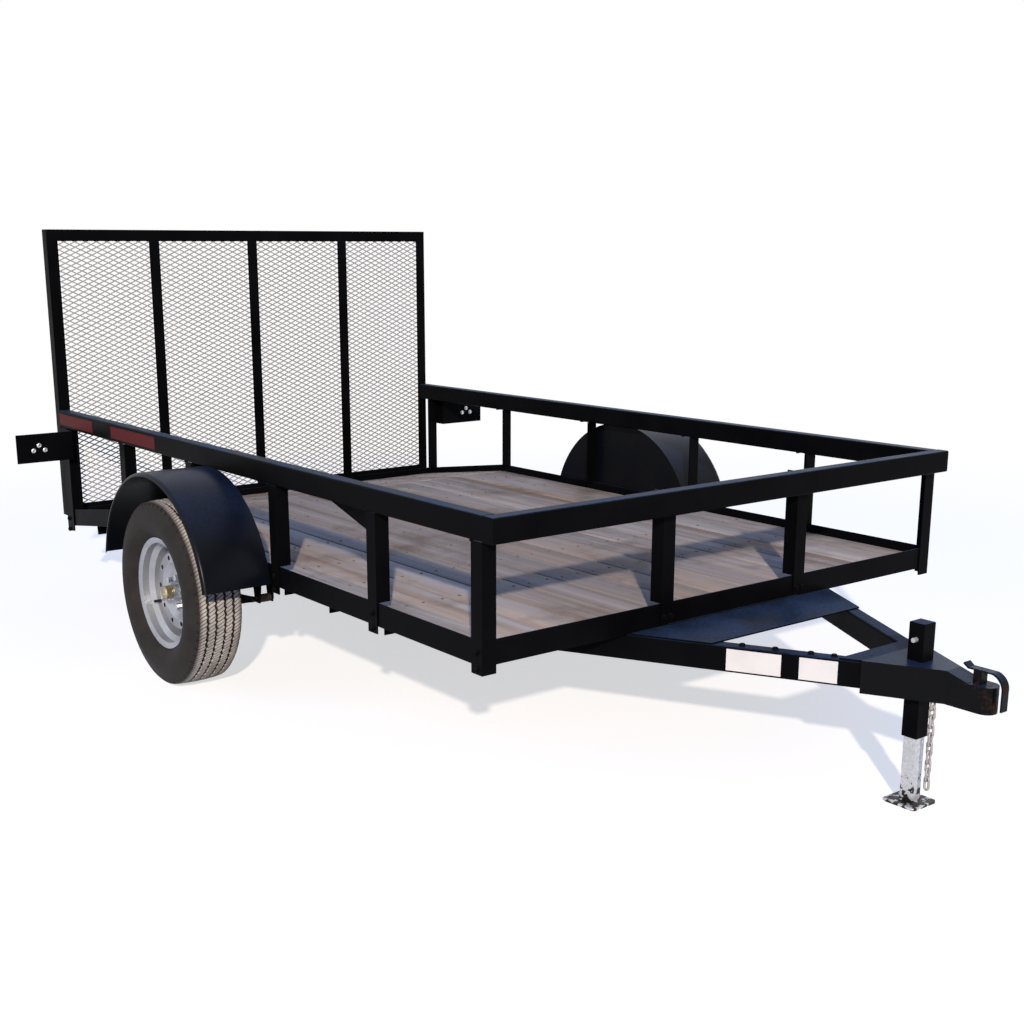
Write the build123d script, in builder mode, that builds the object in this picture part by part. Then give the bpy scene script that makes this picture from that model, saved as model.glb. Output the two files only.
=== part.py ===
"""Single-axle utility trailer: angle-iron bed with a sloped tail, pipe-top rails, a mesh ramp gate,
an A-frame tongue with ball coupler and drop-leg stand, a leaf-sprung axle and two round fenders.

Millimetres. +X points forward to the coupler, +Y to the trailer's left, +Z up. The origin is on the
ground, under the middle of the trailer's length and width.
"""
from build123d import *
from math import asin, atan2, cos, degrees, hypot, radians, sin, sqrt, tan
import os

os.makedirs("parts", exist_ok=True)

# ---------------------------------------------------------------- bed and frame
bed_length = 3232.0        # rear end of the side frames to the front face of the front posts
bed_width = 2059.0         # over the posts and the top rails
frame_top = 503.0          # top edge of the level frame above the ground
frame_height = 76.0        # upright leg of the frame angle
frame_leg = 51.0           # lying leg of the frame angle
frame_wall = 5.0
tail_length = 700.0        # rear stretch of the bed that slopes down
tail_drop = 102.0          # how far the rear end lies below the level bed

# ---------------------------------------------------------------- posts and rails
rail_top = 864.0
rail_height = 76.0
rail_depth = 51.0
rail_wall = 3.0
rail_corner = 6.0          # outside corner radius of the rail tube
post_width = 51.0
post_wall = 5.0
post_lap = 100.0           # how far a post's outer leg laps down over the frame
front_post_y = 308.0       # front posts, each side of the centre line
rear_post_width = 76.0

# ---------------------------------------------------------------- deck
plank_count = 14
plank_thick = 38.0
plank_gap = 9.0
plank_end_gap = 3.0
cross_leg = 51.0
cross_wall = 5.0

# ---------------------------------------------------------------- wheels, axle and springs
axle_from_rear = 1557.0
tyre_radius = 344.0
tyre_width = 212.0
tread_width = 168.0
bead_inset = 12.0          # bead foot inside the rim's edge
bead_radius = 190.5
rim_width = 127.0          # between the flanges
rim_flange = 17.0          # height of the flange over the bead seat
rim_wall = 3.5
rim_curl = 9.0             # flange leans out this far past the bead seat
tyre_gap = 40.0            # tyre to the fender's back plate
axle_tube_radius = 30.0
spindle_radius = 17.5
hub_radius = 36.0
hub_flange_radius = 72.0
hub_flange_thick = 10.0
stud_circle = 114.3
stud_count = 5
stud_radius = 6.35
vent_count = 10
vent_circle = 250.0
vent_radius = 9.0
cap_radius = 25.0
cap_length = 34.0
spring_span = 640.0        # eye to eye
spring_width = 44.5
spring_leaf = 7.0
spring_arch = 38.0         # eye centres above the seat on the top leaf
spring_eye_radius = 15.0
spring_bolt_radius = 7.0
spring_side_gap = 1.0
hanger_wall = 5.0

# ---------------------------------------------------------------- fenders
fender_radius = 450.0
fender_width = 258.0
fender_wall = 3.0
fender_end_height = 430.0  # lower ends of the fender above the ground
fender_lip = 14.0

# ---------------------------------------------------------------- ramp gate
gate_height = 1299.0
gate_side_gap = 5.5        # gate in from the outside of the bed, each side
gate_foot = 46.0           # gate's bottom edge above the bottom of the rear member
gate_bar = 51.0
gate_wall = 4.0
gate_gap = 6.0             # gate to the rear face of the bed
gate_upright_count = 3
hinge_radius = 12.0
hinge_pin_radius = 8.0
hinge_barrel = 70.0        # length of a hinge barrel
hinge_inset = 12.0         # hinge axis behind the gate's front face
hinge_drop = 20.0          # hinge axis under the gate's bottom edge
hinge_in = 289.0           # hinges in from the gate's sides
hinge_lug = 8.0            # thickness of a hinge lug
mesh_long = 204.0          # long way of a mesh diamond
mesh_short = 94.0          # short way of a mesh diamond
mesh_strand = 12.0
mesh_thick = 3.0
mesh_trim = 0.5            # mesh held off the standing legs at its sides

# ---------------------------------------------------------------- tongue, coupler and stand
tongue_reach = 671.0       # beam tips ahead of the front posts
tongue_height = 80.0
tongue_depth = 51.0
tongue_wall = 5.0
tongue_tip_half = 104.0    # outer faces of the beam tips from the centre line
tongue_slope = 0.54        # sideways run of a beam for each unit of length
tongue_corner = 7.0
tongue_plate_reach = 225.0 # flat plate on the beams, ahead of the front posts
coupler_wall = 6.0
coupler_length = 60.0      # part of the coupler that laps the beams
coupler_skirt = 50.0       # how far it reaches down their sides
coupler_bottom = 336.0
ball_reach = 246.0         # ball centre ahead of the beam tips
ball_height = 352.0
ball_radius = 25.4
ball_play = 0.4
coupler_fall = 20.0        # how far the coupler's top falls to its nose
nose_radius = 34.0
latch_gap = 20.0           # latch lever to the coupler's nose
latch_thick = 5.0
latch_rise = 36.0          # underside of the lever over the nose
latch_width = 28.0
stand_tube = 51.0
stand_wall = 5.0
stand_fit = 0.1            # leg to sleeve, each side
stand_plate_reach = 150.0  # rear edge of the plate on the beams behind the stand
stand_reach = 703.0        # stand ahead of the front posts
stand_tube_top = 545.0
stand_tube_bottom = 203.0
stand_leg_top = 283.0
stand_foot = 110.0
stand_foot_thick = 8.0
stand_pin_height = 496.0
stand_pin_radius = 7.0
chain_rod = 7.0
chain_inside = 30.0        # inside length of a chain link
chain_slack = 3.4
chain_links = 13
y_chain = -28.0            # chain's line, right of the centre
chain_hang = 22.0          # middle of the top link below the beams' top

# ---------------------------------------------------------------- rail gusset, lights, tape and labels
gusset_long = 330.0
gusset_deep = 95.0
gusset_in = 44.0           # in from the outside of the frame
bracket_from_rear = 147.0
bracket_low = 656.0
bracket_high = 784.0
bracket_reach = 255.0      # out from the post
bracket_wall = 4.0
bracket_lap = 100.0        # leg along the post
lamp_size = 104.0
lamp_corner = 14.0
lamp_out = 154.0           # middle of a lamp out from the post
lamp_depth = 58.0
tape_height = 50.0
tape_thick = 0.8

# ---------------------------------------------------------------- fits and clearances
moving_gap = 5.0           # least gap between pieces that move past each other
pin_fit = 0.05             # radial play of a pin or spindle in its bore
side_play = 0.5            # hinge barrel to lug, each end

# ---------------------------------------------------------------- places worked out from the sizes
gate_depth = gate_gap + gate_bar
nose_reach = tongue_reach + ball_reach + nose_radius + latch_gap + latch_thick
total_length = gate_depth + bed_length + nose_reach
x_rear = gate_depth - total_length / 2
x_front = x_rear + bed_length
x_axle = x_rear + axle_from_rear
x_tail = x_rear + tail_length
half_width = bed_width / 2
half_frame = half_width - post_wall
frame_bottom = frame_top - frame_height
rail_bottom = rail_top - rail_height
tail_angle = degrees(atan2(tail_drop, tail_length))
plank_bottom = frame_bottom + frame_wall
half_gate = half_width - gate_side_gap
gate_bottom = frame_bottom - tail_drop + gate_foot
gate_top = gate_bottom + gate_height
hinge_y = half_gate - hinge_in


def drop_at(x):
    """How far the bed lies below its level part at x."""
    return max(0.0, (x_tail - x) * tail_drop / tail_length)


def save(part, name):
    part.label = name
    export_step(part, f"parts/{name}.step")


# name, sign of Y
SIDES = (
    ("right", -1),
    ("left", 1),
)

# ================================================================ side frames
with BuildPart() as side_frames:
    for s in (-1, 1):
        # upright leg, bent down at the tail
        with BuildSketch(Plane.XZ.offset(-s * half_frame)):
            with BuildLine():
                Polyline(
                    (x_rear, frame_top - tail_drop),
                    (x_tail, frame_top),
                    (x_front - post_wall - frame_wall, frame_top),
                    (x_front - post_wall - frame_wall, frame_bottom),
                    (x_tail, frame_bottom),
                    (x_rear, frame_bottom - tail_drop),
                    close=True,
                )
            make_face()
        extrude(amount=s * frame_wall)
        # lying leg along the bottom edge
        with BuildSketch(Plane.XZ.offset(-s * (half_frame - frame_wall))):
            with BuildLine():
                Polyline(
                    (x_rear + frame_wall, frame_bottom + frame_wall - drop_at(x_rear + frame_wall)),
                    (x_tail, frame_bottom + frame_wall),
                    (x_front - post_wall - frame_wall, frame_bottom + frame_wall),
                    (x_front - post_wall - frame_wall, frame_bottom),
                    (x_tail, frame_bottom),
                    (x_rear + frame_wall, frame_bottom - drop_at(x_rear + frame_wall)),
                    close=True,
                )
            make_face()
        extrude(amount=s * (frame_leg - frame_wall))
save(side_frames.part, "side_frames")

# ================================================================ front and rear members
with BuildPart() as front_member:
    with BuildSketch(Plane.XZ.offset(-half_frame)):
        with BuildLine():
            x_face = x_front - post_wall
            Polyline(
                (x_face, frame_bottom),
                (x_face, frame_top),
                (x_face - frame_wall, frame_top),
                (x_face - frame_wall, frame_bottom),
                close=True,
            )
        make_face()
    extrude(amount=2 * half_frame)
    with BuildSketch(Plane.XZ.offset(-(half_frame - frame_leg))):
        with BuildLine():
            Polyline(
                (x_face - frame_wall, frame_bottom),
                (x_face - frame_wall, frame_bottom + frame_wall),
                (x_face - frame_leg, frame_bottom + frame_wall),
                (x_face - frame_leg, frame_bottom),
                close=True,
            )
        make_face()
    extrude(amount=2 * (half_frame - frame_leg))
save(front_member.part, "front_member")

rear_bottom = frame_bottom - tail_drop
with BuildPart() as rear_member:
    with BuildSketch(Plane.XZ.offset(-(half_frame - frame_wall))):
        with BuildLine():
            Polyline(
                (x_rear, rear_bottom),
                (x_rear + frame_wall, rear_bottom),
                (x_rear + frame_wall, rear_bottom + frame_height),
                (x_rear, rear_bottom + frame_height),
                close=True,
            )
        make_face()
    extrude(amount=2 * (half_frame - frame_wall))
save(rear_member.part, "rear_member")

# ================================================================ cross members
# place from the rear of the bed, along the level bed or down the tail
CROSS_PLACES = (225.0, 505.0, 830.0, 1140.0, 1660.0, 1990.0, 2300.0, 2640.0)
cross_half = half_frame - frame_leg
with BuildPart() as cross_members:
    for place in CROSS_PLACES:
        x = x_rear + place
        tilt = -tail_angle if place < tail_length else 0.0
        top = Vector(x, -cross_half, plank_bottom - drop_at(x))
        along = Vector(1, 0, 0).rotate(Axis.Y, tilt)
        with BuildSketch(Plane(origin=top, x_dir=along, z_dir=(0, 1, 0))):
            with BuildLine():
                Polyline(
                    (0, 0),
                    (cross_leg, 0),
                    (cross_leg, cross_wall),
                    (cross_wall, cross_wall),
                    (cross_wall, cross_leg),
                    (0, cross_leg),
                    close=True,
                )
            make_face()
        extrude(amount=2 * cross_half)
save(cross_members.part, "cross_members")

# ================================================================ deck planks
plank_room = 2 * (half_frame - frame_wall)
plank_pitch = plank_room / plank_count
plank_width = plank_pitch - plank_gap
plank_front = x_front - post_wall - frame_wall - plank_end_gap
plank_rows = [(i - (plank_count - 1) / 2) * plank_pitch for i in range(plank_count)]
with BuildPart() as deck_planks:
    with BuildSketch(Plane.XY.offset(plank_bottom)):
        for y in plank_rows:
            with Locations(((x_tail + plank_end_gap + plank_front) / 2, y)):
                Rectangle(plank_front - x_tail - plank_end_gap, plank_width)
    extrude(amount=plank_thick)
save(deck_planks.part, "deck_planks")

tail_run = hypot(tail_length, tail_drop)
tail_dir = Vector(cos(radians(tail_angle)), 0, sin(radians(tail_angle)))
tail_start = Vector(x_tail, 0, plank_bottom)
with BuildPart() as tail_planks:
    with BuildSketch(Plane(origin=tail_start, x_dir=tail_dir, z_dir=(-tail_dir.Z, 0, tail_dir.X))):
        first = plank_thick * tan(radians(tail_angle / 2)) + plank_end_gap
        last = tail_run - frame_wall - plank_end_gap - plank_thick * tan(radians(tail_angle))
        for y in plank_rows:
            with Locations((-(first + last) / 2, y)):
                Rectangle(last - first, plank_width)
    extrude(amount=plank_thick)
save(tail_planks.part, "tail_planks")

# ================================================================ side posts
# rear edge of the post from the rear of the bed, width along the bed
POSTS = (
    (10.0, rear_post_width),
    (692.0, post_width),
    (1340.0, post_width),
    (2003.0, post_width),
    (2636.0, post_width),
    (bed_length - post_width, post_width),
)
with BuildPart() as side_posts:
    for s in (-1, 1):
        for place, width in POSTS:
            x0 = x_rear + place
            x1 = x0 + width
            low0 = frame_top - drop_at(x0)
            low1 = frame_top - drop_at(x1)
            # outer leg, lapped over the frame
            with BuildSketch(Plane.XZ.offset(-s * half_width)):
                with BuildLine():
                    Polyline(
                        (x0, low0 - post_lap),
                        (x1, low1 - post_lap),
                        (x1, rail_bottom),
                        (x0, rail_bottom),
                        close=True,
                    )
                make_face()
            extrude(amount=s * post_wall)
            # inner leg, stopping on the frame's top edge
            with BuildSketch(Plane.XZ.offset(-s * half_frame)):
                with BuildLine():
                    edge = x1 - post_wall
                    Polyline(
                        (edge, frame_top - drop_at(edge)),
                        (x1, low1),
                        (x1, rail_bottom),
                        (edge, rail_bottom),
                        close=True,
                    )
                make_face()
            extrude(amount=s * (post_width - post_wall))
        # front leg of the corner post, lapped over the front member
        with BuildSketch(Plane.YZ.offset(x_front)):
            with BuildLine():
                Polyline(
                    (s * half_width, frame_top - post_lap),
                    (s * half_width, rail_bottom),
                    (s * (half_width - post_width), rail_bottom),
                    (s * (half_width - post_width), frame_top - post_lap),
                    close=True,
                )
            make_face()
        extrude(amount=-post_wall)
save(side_posts.part, "side_posts")

# ================================================================ front posts
front_post_top = rail_top - 8.0
with BuildPart() as front_posts:
    for y in (-front_post_y, front_post_y):
        with BuildSketch(Plane.YZ.offset(x_front)):
            with Locations((y, (frame_top - post_lap + front_post_top) / 2)):
                Rectangle(post_width, front_post_top - frame_top + post_lap)
        extrude(amount=-post_wall)
        with BuildSketch(Plane.XY.offset(frame_top)):
            with Locations((x_front - post_width / 2, y - post_width / 2 + post_wall / 2)):
                Rectangle(post_width, post_wall)
        extrude(amount=front_post_top - frame_top)
save(front_posts.part, "front_posts")

# ================================================================ top rails
with BuildPart() as top_rails:
    for s in (-1, 1):
        y_mid = s * (half_width - rail_depth / 2)
        with BuildSketch(Plane.YZ.offset(x_rear)):
            with Locations((y_mid, rail_top - rail_height / 2)):
                RectangleRounded(rail_depth, rail_height, rail_corner)
                RectangleRounded(rail_depth - 2 * rail_wall, rail_height - 2 * rail_wall,
                                 rail_corner - rail_wall, mode=Mode.SUBTRACT)
        extrude(amount=bed_length)
        # rear end cap
        with BuildSketch(Plane.YZ.offset(x_rear)):
            with Locations((y_mid, rail_top - rail_height / 2)):
                RectangleRounded(rail_depth, rail_height, rail_corner)
        extrude(amount=rail_wall)
save(top_rails.part, "top_rails")

with BuildPart() as front_rail:
    with BuildSketch(Plane.XZ.offset(-half_width)):
        with Locations((x_front + rail_depth / 2, rail_top - rail_height / 2)):
            RectangleRounded(rail_depth, rail_height, rail_corner)
            RectangleRounded(rail_depth - 2 * rail_wall, rail_height - 2 * rail_wall,
                             rail_corner - rail_wall, mode=Mode.SUBTRACT)
    extrude(amount=2 * half_width)
    for plane in (Plane.XZ.offset(-half_width), Plane.XZ.offset(half_width - rail_wall)):
        with BuildSketch(plane):
            with Locations((x_front + rail_depth / 2, rail_top - rail_height / 2)):
                RectangleRounded(rail_depth, rail_height, rail_corner)
        extrude(amount=rail_wall)
save(front_rail.part, "front_rail")

# ================================================================ fenders
y_fender_in = half_width
y_fender_out = half_width + fender_width
end_rise = degrees(asin((fender_end_height - tyre_radius) / fender_radius))
hub_centre = Vector(x_axle, 0, tyre_radius)
end_dir = Vector(cos(radians(end_rise)), 0, sin(radians(end_rise)))
skin_in = y_fender_in + fender_wall
bend = fender_lip - fender_wall
diagonal = sqrt(0.5)
with BuildPart() as fenders:
    for s in (-1, 1):
        # rolled skin with its outer edge turned down, swept round the axle
        with BuildSketch(Plane(origin=hub_centre, x_dir=(0, s, 0), z_dir=Vector(0, s, 0).cross(end_dir))):
            with BuildLine():
                edge = y_fender_out - fender_lip
                low = fender_radius - fender_lip
                Line((skin_in, low + bend), (skin_in, fender_radius))
                Line((skin_in, fender_radius), (edge, fender_radius))
                ThreePointArc((edge, fender_radius),
                              (edge + fender_lip * diagonal, low + fender_lip * diagonal),
                              (y_fender_out, low))
                Line((y_fender_out, low), (y_fender_out - fender_wall, low))
                ThreePointArc((y_fender_out - fender_wall, low),
                              (edge + bend * diagonal, low + bend * diagonal),
                              (edge, low + bend))
                Line((edge, low + bend), (skin_in, low + bend))
            make_face()
        revolve(axis=Axis(hub_centre, (0, -1, 0)), revolution_arc=180 - 2 * end_rise)
        # flat back plate that fastens to the posts
        with BuildSketch(Plane.XZ.offset(-s * y_fender_in)):
            with Locations((x_axle, tyre_radius)):
                Circle(fender_radius)
            with Locations((x_axle, fender_end_height - fender_radius)):
                Rectangle(2 * fender_radius, 2 * fender_radius, mode=Mode.SUBTRACT)
        extrude(amount=-s * fender_wall)
save(fenders.part, "fenders")

# ================================================================ wheels
tyre_mid = half_width + fender_wall + tyre_gap + tyre_width / 2
flange_radius = bead_radius + rim_flange
disc_thick = 5.0
disc_bore = 42.0
hub_bore = spindle_radius + pin_fit
hub_depth = 78.0           # hub barrel inboard of the wheel disc
hub_nose = 34.0            # hub barrel outboard of it
spindle_end = 20.0


def ring_plane(s):
    """Half-plane through the wheel's axis: sketch x runs outwards along Y, sketch y is the radius."""
    return Plane(origin=(x_axle, s * tyre_mid, tyre_radius), x_dir=(0, s, 0), z_dir=(s, 0, 0))


for side, s in SIDES:
    wheel_axis = Axis((x_axle, s * tyre_mid, tyre_radius), (0, 1, 0))
    half_rim = rim_width / 2
    foot = half_rim - bead_inset
    wall_radius = (flange_radius + tyre_radius) / 2
    with BuildPart() as tyre:
        with BuildSketch(ring_plane(s)):
            with BuildLine():
                Polyline(
                    (-foot, bead_radius),
                    (-tyre_width / 2, wall_radius),
                    (-tread_width / 2, tyre_radius),
                    (tread_width / 2, tyre_radius),
                    (tyre_width / 2, wall_radius),
                    (foot, bead_radius),
                    close=True,
                )
            make_face()
        revolve(axis=wheel_axis)
    save(tyre.part, f"tyre_{side}")

    well_radius = bead_radius - 17.0
    with BuildPart() as wheel:
        # rim barrel: flanges, bead seats and drop centre
        with BuildSketch(ring_plane(s)):
            with BuildLine():
                Polyline(
                    (-half_rim - rim_curl, flange_radius),
                    (-half_rim, bead_radius),
                    (-half_rim + 24, bead_radius),
                    (-half_rim + 34, well_radius),
                    (half_rim - 42, well_radius),
                    (half_rim - 26, bead_radius),
                    (half_rim, bead_radius),
                    (half_rim + rim_curl, flange_radius),
                    (half_rim + rim_curl, flange_radius - rim_wall),
                    (half_rim + rim_wall / 2, bead_radius - rim_wall),
                    (half_rim - 24, bead_radius - rim_wall),
                    (half_rim - 40, well_radius - rim_wall),
                    (-half_rim + 32, well_radius - rim_wall),
                    (-half_rim + 22, bead_radius - rim_wall),
                    (-half_rim - rim_wall / 2, bead_radius - rim_wall),
                    (-half_rim - rim_curl, flange_radius - rim_wall),
                    close=True,
                )
            make_face()
        revolve(axis=wheel_axis)
        # dished disc
        with BuildSketch(ring_plane(s)):
            with BuildLine():
                Polyline(
                    (0, disc_bore),
                    (0, 84),
                    (14, 108),
                    (14, 140),
                    (-14, well_radius - rim_wall),
                    (-14 + disc_thick + 3, well_radius - rim_wall),
                    (14 + disc_thick, 142),
                    (14 + disc_thick, 106),
                    (disc_thick, 82),
                    (disc_thick, disc_bore),
                    close=True,
                )
            make_face()
        revolve(axis=wheel_axis)
        behind_disc = Vector(x_axle, s * (tyre_mid - 20), tyre_radius)
        with BuildSketch(Plane(origin=behind_disc, x_dir=(1, 0, 0), z_dir=(0, s, 0))):
            with PolarLocations(stud_circle / 2, stud_count):
                Circle(stud_radius + 1)
            with PolarLocations(vent_circle / 2, vent_count):
                Circle(vent_radius)
        extrude(amount=60, mode=Mode.SUBTRACT)
    save(wheel.part, f"wheel_{side}")

    with BuildPart() as hub:
        # flange and barrel, bored for the spindle, with its studs
        with BuildSketch(ring_plane(s)):
            with BuildLine():
                Polyline(
                    (-hub_depth, hub_bore),
                    (-hub_depth, hub_radius),
                    (-hub_flange_thick, hub_radius + 4),
                    (-hub_flange_thick, hub_flange_radius),
                    (0, hub_flange_radius),
                    (0, hub_radius),
                    (hub_nose, cap_radius + 6),
                    (hub_nose, hub_bore),
                    close=True,
                )
            make_face()
        revolve(axis=wheel_axis)
        stud_plane = Plane(origin=(x_axle, s * tyre_mid, tyre_radius), x_dir=(1, 0, 0), z_dir=(0, s, 0))
        with BuildSketch(stud_plane):
            with PolarLocations(stud_circle / 2, stud_count):
                Circle(stud_radius)
        extrude(amount=disc_thick)
        with BuildSketch(stud_plane.offset(disc_thick)):
            with PolarLocations(stud_circle / 2, stud_count):
                RegularPolygon(11, 6)
        extrude(amount=20)
    save(hub.part, f"hub_{side}")

    with BuildPart() as grease_cap:
        with BuildSketch(ring_plane(s)):
            with BuildLine():
                cap_end = hub_nose + cap_length
                Polyline(
                    (hub_nose, 0),
                    (hub_nose, cap_radius + 3),
                    (hub_nose + 4, cap_radius + 3),
                    (hub_nose + 4, cap_radius),
                    (cap_end - 8, cap_radius),
                    (cap_end - 3, cap_radius - 4),
                    (cap_end, cap_radius - 12),
                    (cap_end, 0),
                    close=True,
                )
            make_face()
        revolve(axis=wheel_axis)
    save(grease_cap.part, f"grease_cap_{side}")

# ================================================================ axle and springs
spring_y = half_frame - hanger_wall - spring_side_gap - spring_width / 2
axle_half = tyre_mid - hub_depth - moving_gap
with BuildPart() as axle_beam:
    with BuildSketch(Plane.XZ.offset(-axle_half)):
        with Locations((x_axle, tyre_radius)):
            Circle(axle_tube_radius)
    extrude(amount=2 * axle_half)
    with BuildSketch(Plane.XZ.offset(-(tyre_mid + spindle_end))):
        with Locations((x_axle, tyre_radius)):
            Circle(spindle_radius)
    extrude(amount=2 * (tyre_mid + spindle_end))
save(axle_beam.part, "axle_beam")

seat_z = tyre_radius - axle_tube_radius
eye_z = seat_z + spring_arch
half_span = spring_span / 2
main_radius = (half_span**2 + spring_arch**2) / (2 * spring_arch)
LEAF_LENGTHS = (spring_span, 520.0, 380.0, 240.0)   # main leaf first
with BuildPart() as leaf_springs:
    for s in (-1, 1):
        for i, leaf_length in enumerate(LEAF_LENGTHS):
            inner = main_radius + i * spring_leaf
            with BuildSketch(Plane.XZ.offset(-s * spring_y - spring_width / 2)):
                with Locations((x_axle, seat_z + main_radius)):
                    Circle(inner + spring_leaf)
                    Circle(inner, mode=Mode.SUBTRACT)
                with Locations((x_axle, seat_z)):
                    Rectangle(leaf_length, 4 * spring_arch, mode=Mode.INTERSECT)
            extrude(amount=spring_width)
        with BuildSketch(Plane.XZ.offset(-s * spring_y - spring_width / 2)):
            for end in (-1, 1):
                with Locations((x_axle + end * half_span, eye_z)):
                    Circle(spring_eye_radius)
        extrude(amount=spring_width)
        with BuildSketch(Plane.XZ.offset(-s * spring_y - spring_width / 2)):
            for end in (-1, 1):
                with Locations((x_axle + end * half_span, eye_z)):
                    Circle(spring_bolt_radius + 0.1)
        extrude(amount=spring_width, mode=Mode.SUBTRACT)
save(leaf_springs.part, "leaf_springs")

hanger_half = spring_width / 2 + spring_side_gap
with BuildPart() as spring_hangers:
    for s in (-1, 1):
        for end in (-1, 1):
            x_eye = x_axle + end * half_span
            for cheek in (-1, 1):
                y_in = s * spring_y + cheek * hanger_half
                with BuildSketch(Plane.XZ.offset(-y_in)):
                    with BuildLine():
                        Polyline(
                            (x_eye - 32, frame_bottom),
                            (x_eye + 32, frame_bottom),
                            (x_eye + 17, eye_z - 14),
                            (x_eye - 17, eye_z - 14),
                            close=True,
                        )
                    make_face()
                extrude(amount=-cheek * hanger_wall)
            with BuildSketch(Plane.XY.offset(frame_bottom)):
                with Locations((x_eye, s * spring_y)):
                    Rectangle(64, 2 * hanger_half)
            extrude(amount=-hanger_wall)
            with BuildSketch(Plane.XZ.offset(-s * spring_y - hanger_half - hanger_wall - 8)):
                with Locations((x_eye, eye_z)):
                    Circle(spring_bolt_radius)
            extrude(amount=2 * (hanger_half + hanger_wall + 8))
save(spring_hangers.part, "spring_hangers")

plate_half = 62.0
plate_thick = 9.0
u_radius = 6.0
pack_bottom = seat_z - len(LEAF_LENGTHS) * spring_leaf
u_span = axle_tube_radius + u_radius + 0.3
u_end = pack_bottom - plate_thick - 14.0   # threaded ends below the plate
with BuildPart() as axle_clamps:
    for s in (-1, 1):
        with BuildSketch(Plane.XY.offset(pack_bottom)):
            with Locations((x_axle, s * spring_y)):
                Rectangle(2 * plate_half, 2 * plate_half)
        extrude(amount=-plate_thick)
        for across in (-1, 1):
            y_u = s * spring_y + across * (spring_width / 2 + u_radius + 0.5)
            with BuildLine() as u_line:
                Line((x_axle - u_span, y_u, u_end), (x_axle - u_span, y_u, tyre_radius))
                ThreePointArc((x_axle - u_span, y_u, tyre_radius), (x_axle, y_u, tyre_radius + u_span),
                              (x_axle + u_span, y_u, tyre_radius))
                Line((x_axle + u_span, y_u, tyre_radius), (x_axle + u_span, y_u, u_end))
            with BuildSketch(Plane(origin=(x_axle - u_span, y_u, u_end), z_dir=(0, 0, 1))):
                Circle(u_radius)
            sweep(path=u_line.wire())
save(axle_clamps.part, "axle_clamps")

# ================================================================ ramp gate
gate_face = x_rear - gate_gap
with BuildPart() as gate_stiles:
    for s in (-1, 1):
        with BuildSketch(Plane.XY.offset(gate_bottom)):
            with BuildLine():
                Polyline(
                    (gate_face, s * half_gate),
                    (gate_face, s * (half_gate - gate_bar)),
                    (gate_face - gate_wall, s * (half_gate - gate_bar)),
                    (gate_face - gate_wall, s * (half_gate - gate_wall)),
                    (gate_face - gate_bar, s * (half_gate - gate_wall)),
                    (gate_face - gate_bar, s * half_gate),
                    close=True,
                )
            make_face()
        extrude(amount=gate_height)
save(gate_stiles.part, "gate_stiles")

bar_half = half_gate - gate_bar
with BuildPart() as gate_bars:
    for z_edge, m in ((gate_bottom, 1), (gate_top, -1)):
        with BuildSketch(Plane.XZ.offset(-bar_half)):
            with BuildLine():
                Polyline(
                    (gate_face, z_edge),
                    (gate_face, z_edge + m * gate_bar),
                    (gate_face - gate_wall, z_edge + m * gate_bar),
                    (gate_face - gate_wall, z_edge + m * gate_wall),
                    (gate_face - gate_bar, z_edge + m * gate_wall),
                    (gate_face - gate_bar, z_edge),
                    close=True,
                )
            make_face()
        extrude(amount=2 * bar_half)
save(gate_bars.part, "gate_bars")

upright_pitch = 2 * half_gate / (gate_upright_count + 1)
upright_rows = [(i - (gate_upright_count - 1) / 2) * upright_pitch for i in range(gate_upright_count)]
mesh_back = gate_face - gate_wall - mesh_thick
with BuildPart() as gate_uprights:
    for y in upright_rows:
        with BuildSketch(Plane.XY.offset(gate_bottom + gate_bar)):
            with Locations((gate_face - gate_wall / 2, y)):
                Rectangle(gate_wall, gate_bar)
            with Locations((gate_face - (gate_bar + gate_wall) / 2, y + (gate_bar - gate_wall) / 2)):
                Rectangle(gate_bar - gate_wall, gate_wall)
        extrude(amount=gate_height - 2 * gate_bar)
save(gate_uprights.part, "gate_uprights")

# expanded mesh in one sheet for each bay, lapped behind the flat legs of the bars
stile_faces = [-half_gate + gate_wall] + [y + gate_bar / 2 for y in upright_rows]
next_faces = [y + gate_bar / 2 - gate_wall for y in upright_rows] + [half_gate - gate_wall]
mesh_low = gate_bottom + gate_wall
mesh_high = gate_top - gate_wall


def diamond_centres(columns, rows, pitch_y, pitch_z):
    """Centres of the mesh openings: one full grid and one shifted by half a pitch each way."""
    centres = []
    for n_y, n_z in ((columns, rows), (columns - 1, rows - 1)):
        for i in range(n_y):
            for j in range(n_z):
                centres.append(((i - (n_y - 1) / 2) * pitch_y, (j - (n_z - 1) / 2) * pitch_z))
    return centres


with BuildPart() as gate_mesh:
    for y0, y1 in zip(stile_faces, next_faces):
        wide = y1 - y0 - 2 * mesh_trim
        tall = mesh_high - mesh_low - 2 * mesh_trim
        columns = max(1, round(wide / mesh_long))
        rows = max(1, round(tall / mesh_short))
        pitch_y = (wide - mesh_strand) / columns
        pitch_z = (tall - mesh_strand) / rows
        half_y = pitch_y / 2 - mesh_strand
        half_z = pitch_z / 2 - mesh_strand / 2
        diamonds = diamond_centres(columns, rows, pitch_y, pitch_z)
        with BuildSketch(Plane.YZ.offset(mesh_back)):
            with Locations(((y0 + y1) / 2, (mesh_low + mesh_high) / 2)):
                Rectangle(wide, tall)
                with Locations(*diamonds):
                    Polygon((-half_y, 0), (0, -half_z), (half_y, 0), (0, half_z), mode=Mode.SUBTRACT)
        extrude(amount=mesh_thick)
save(gate_mesh.part, "gate_mesh")

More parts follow.
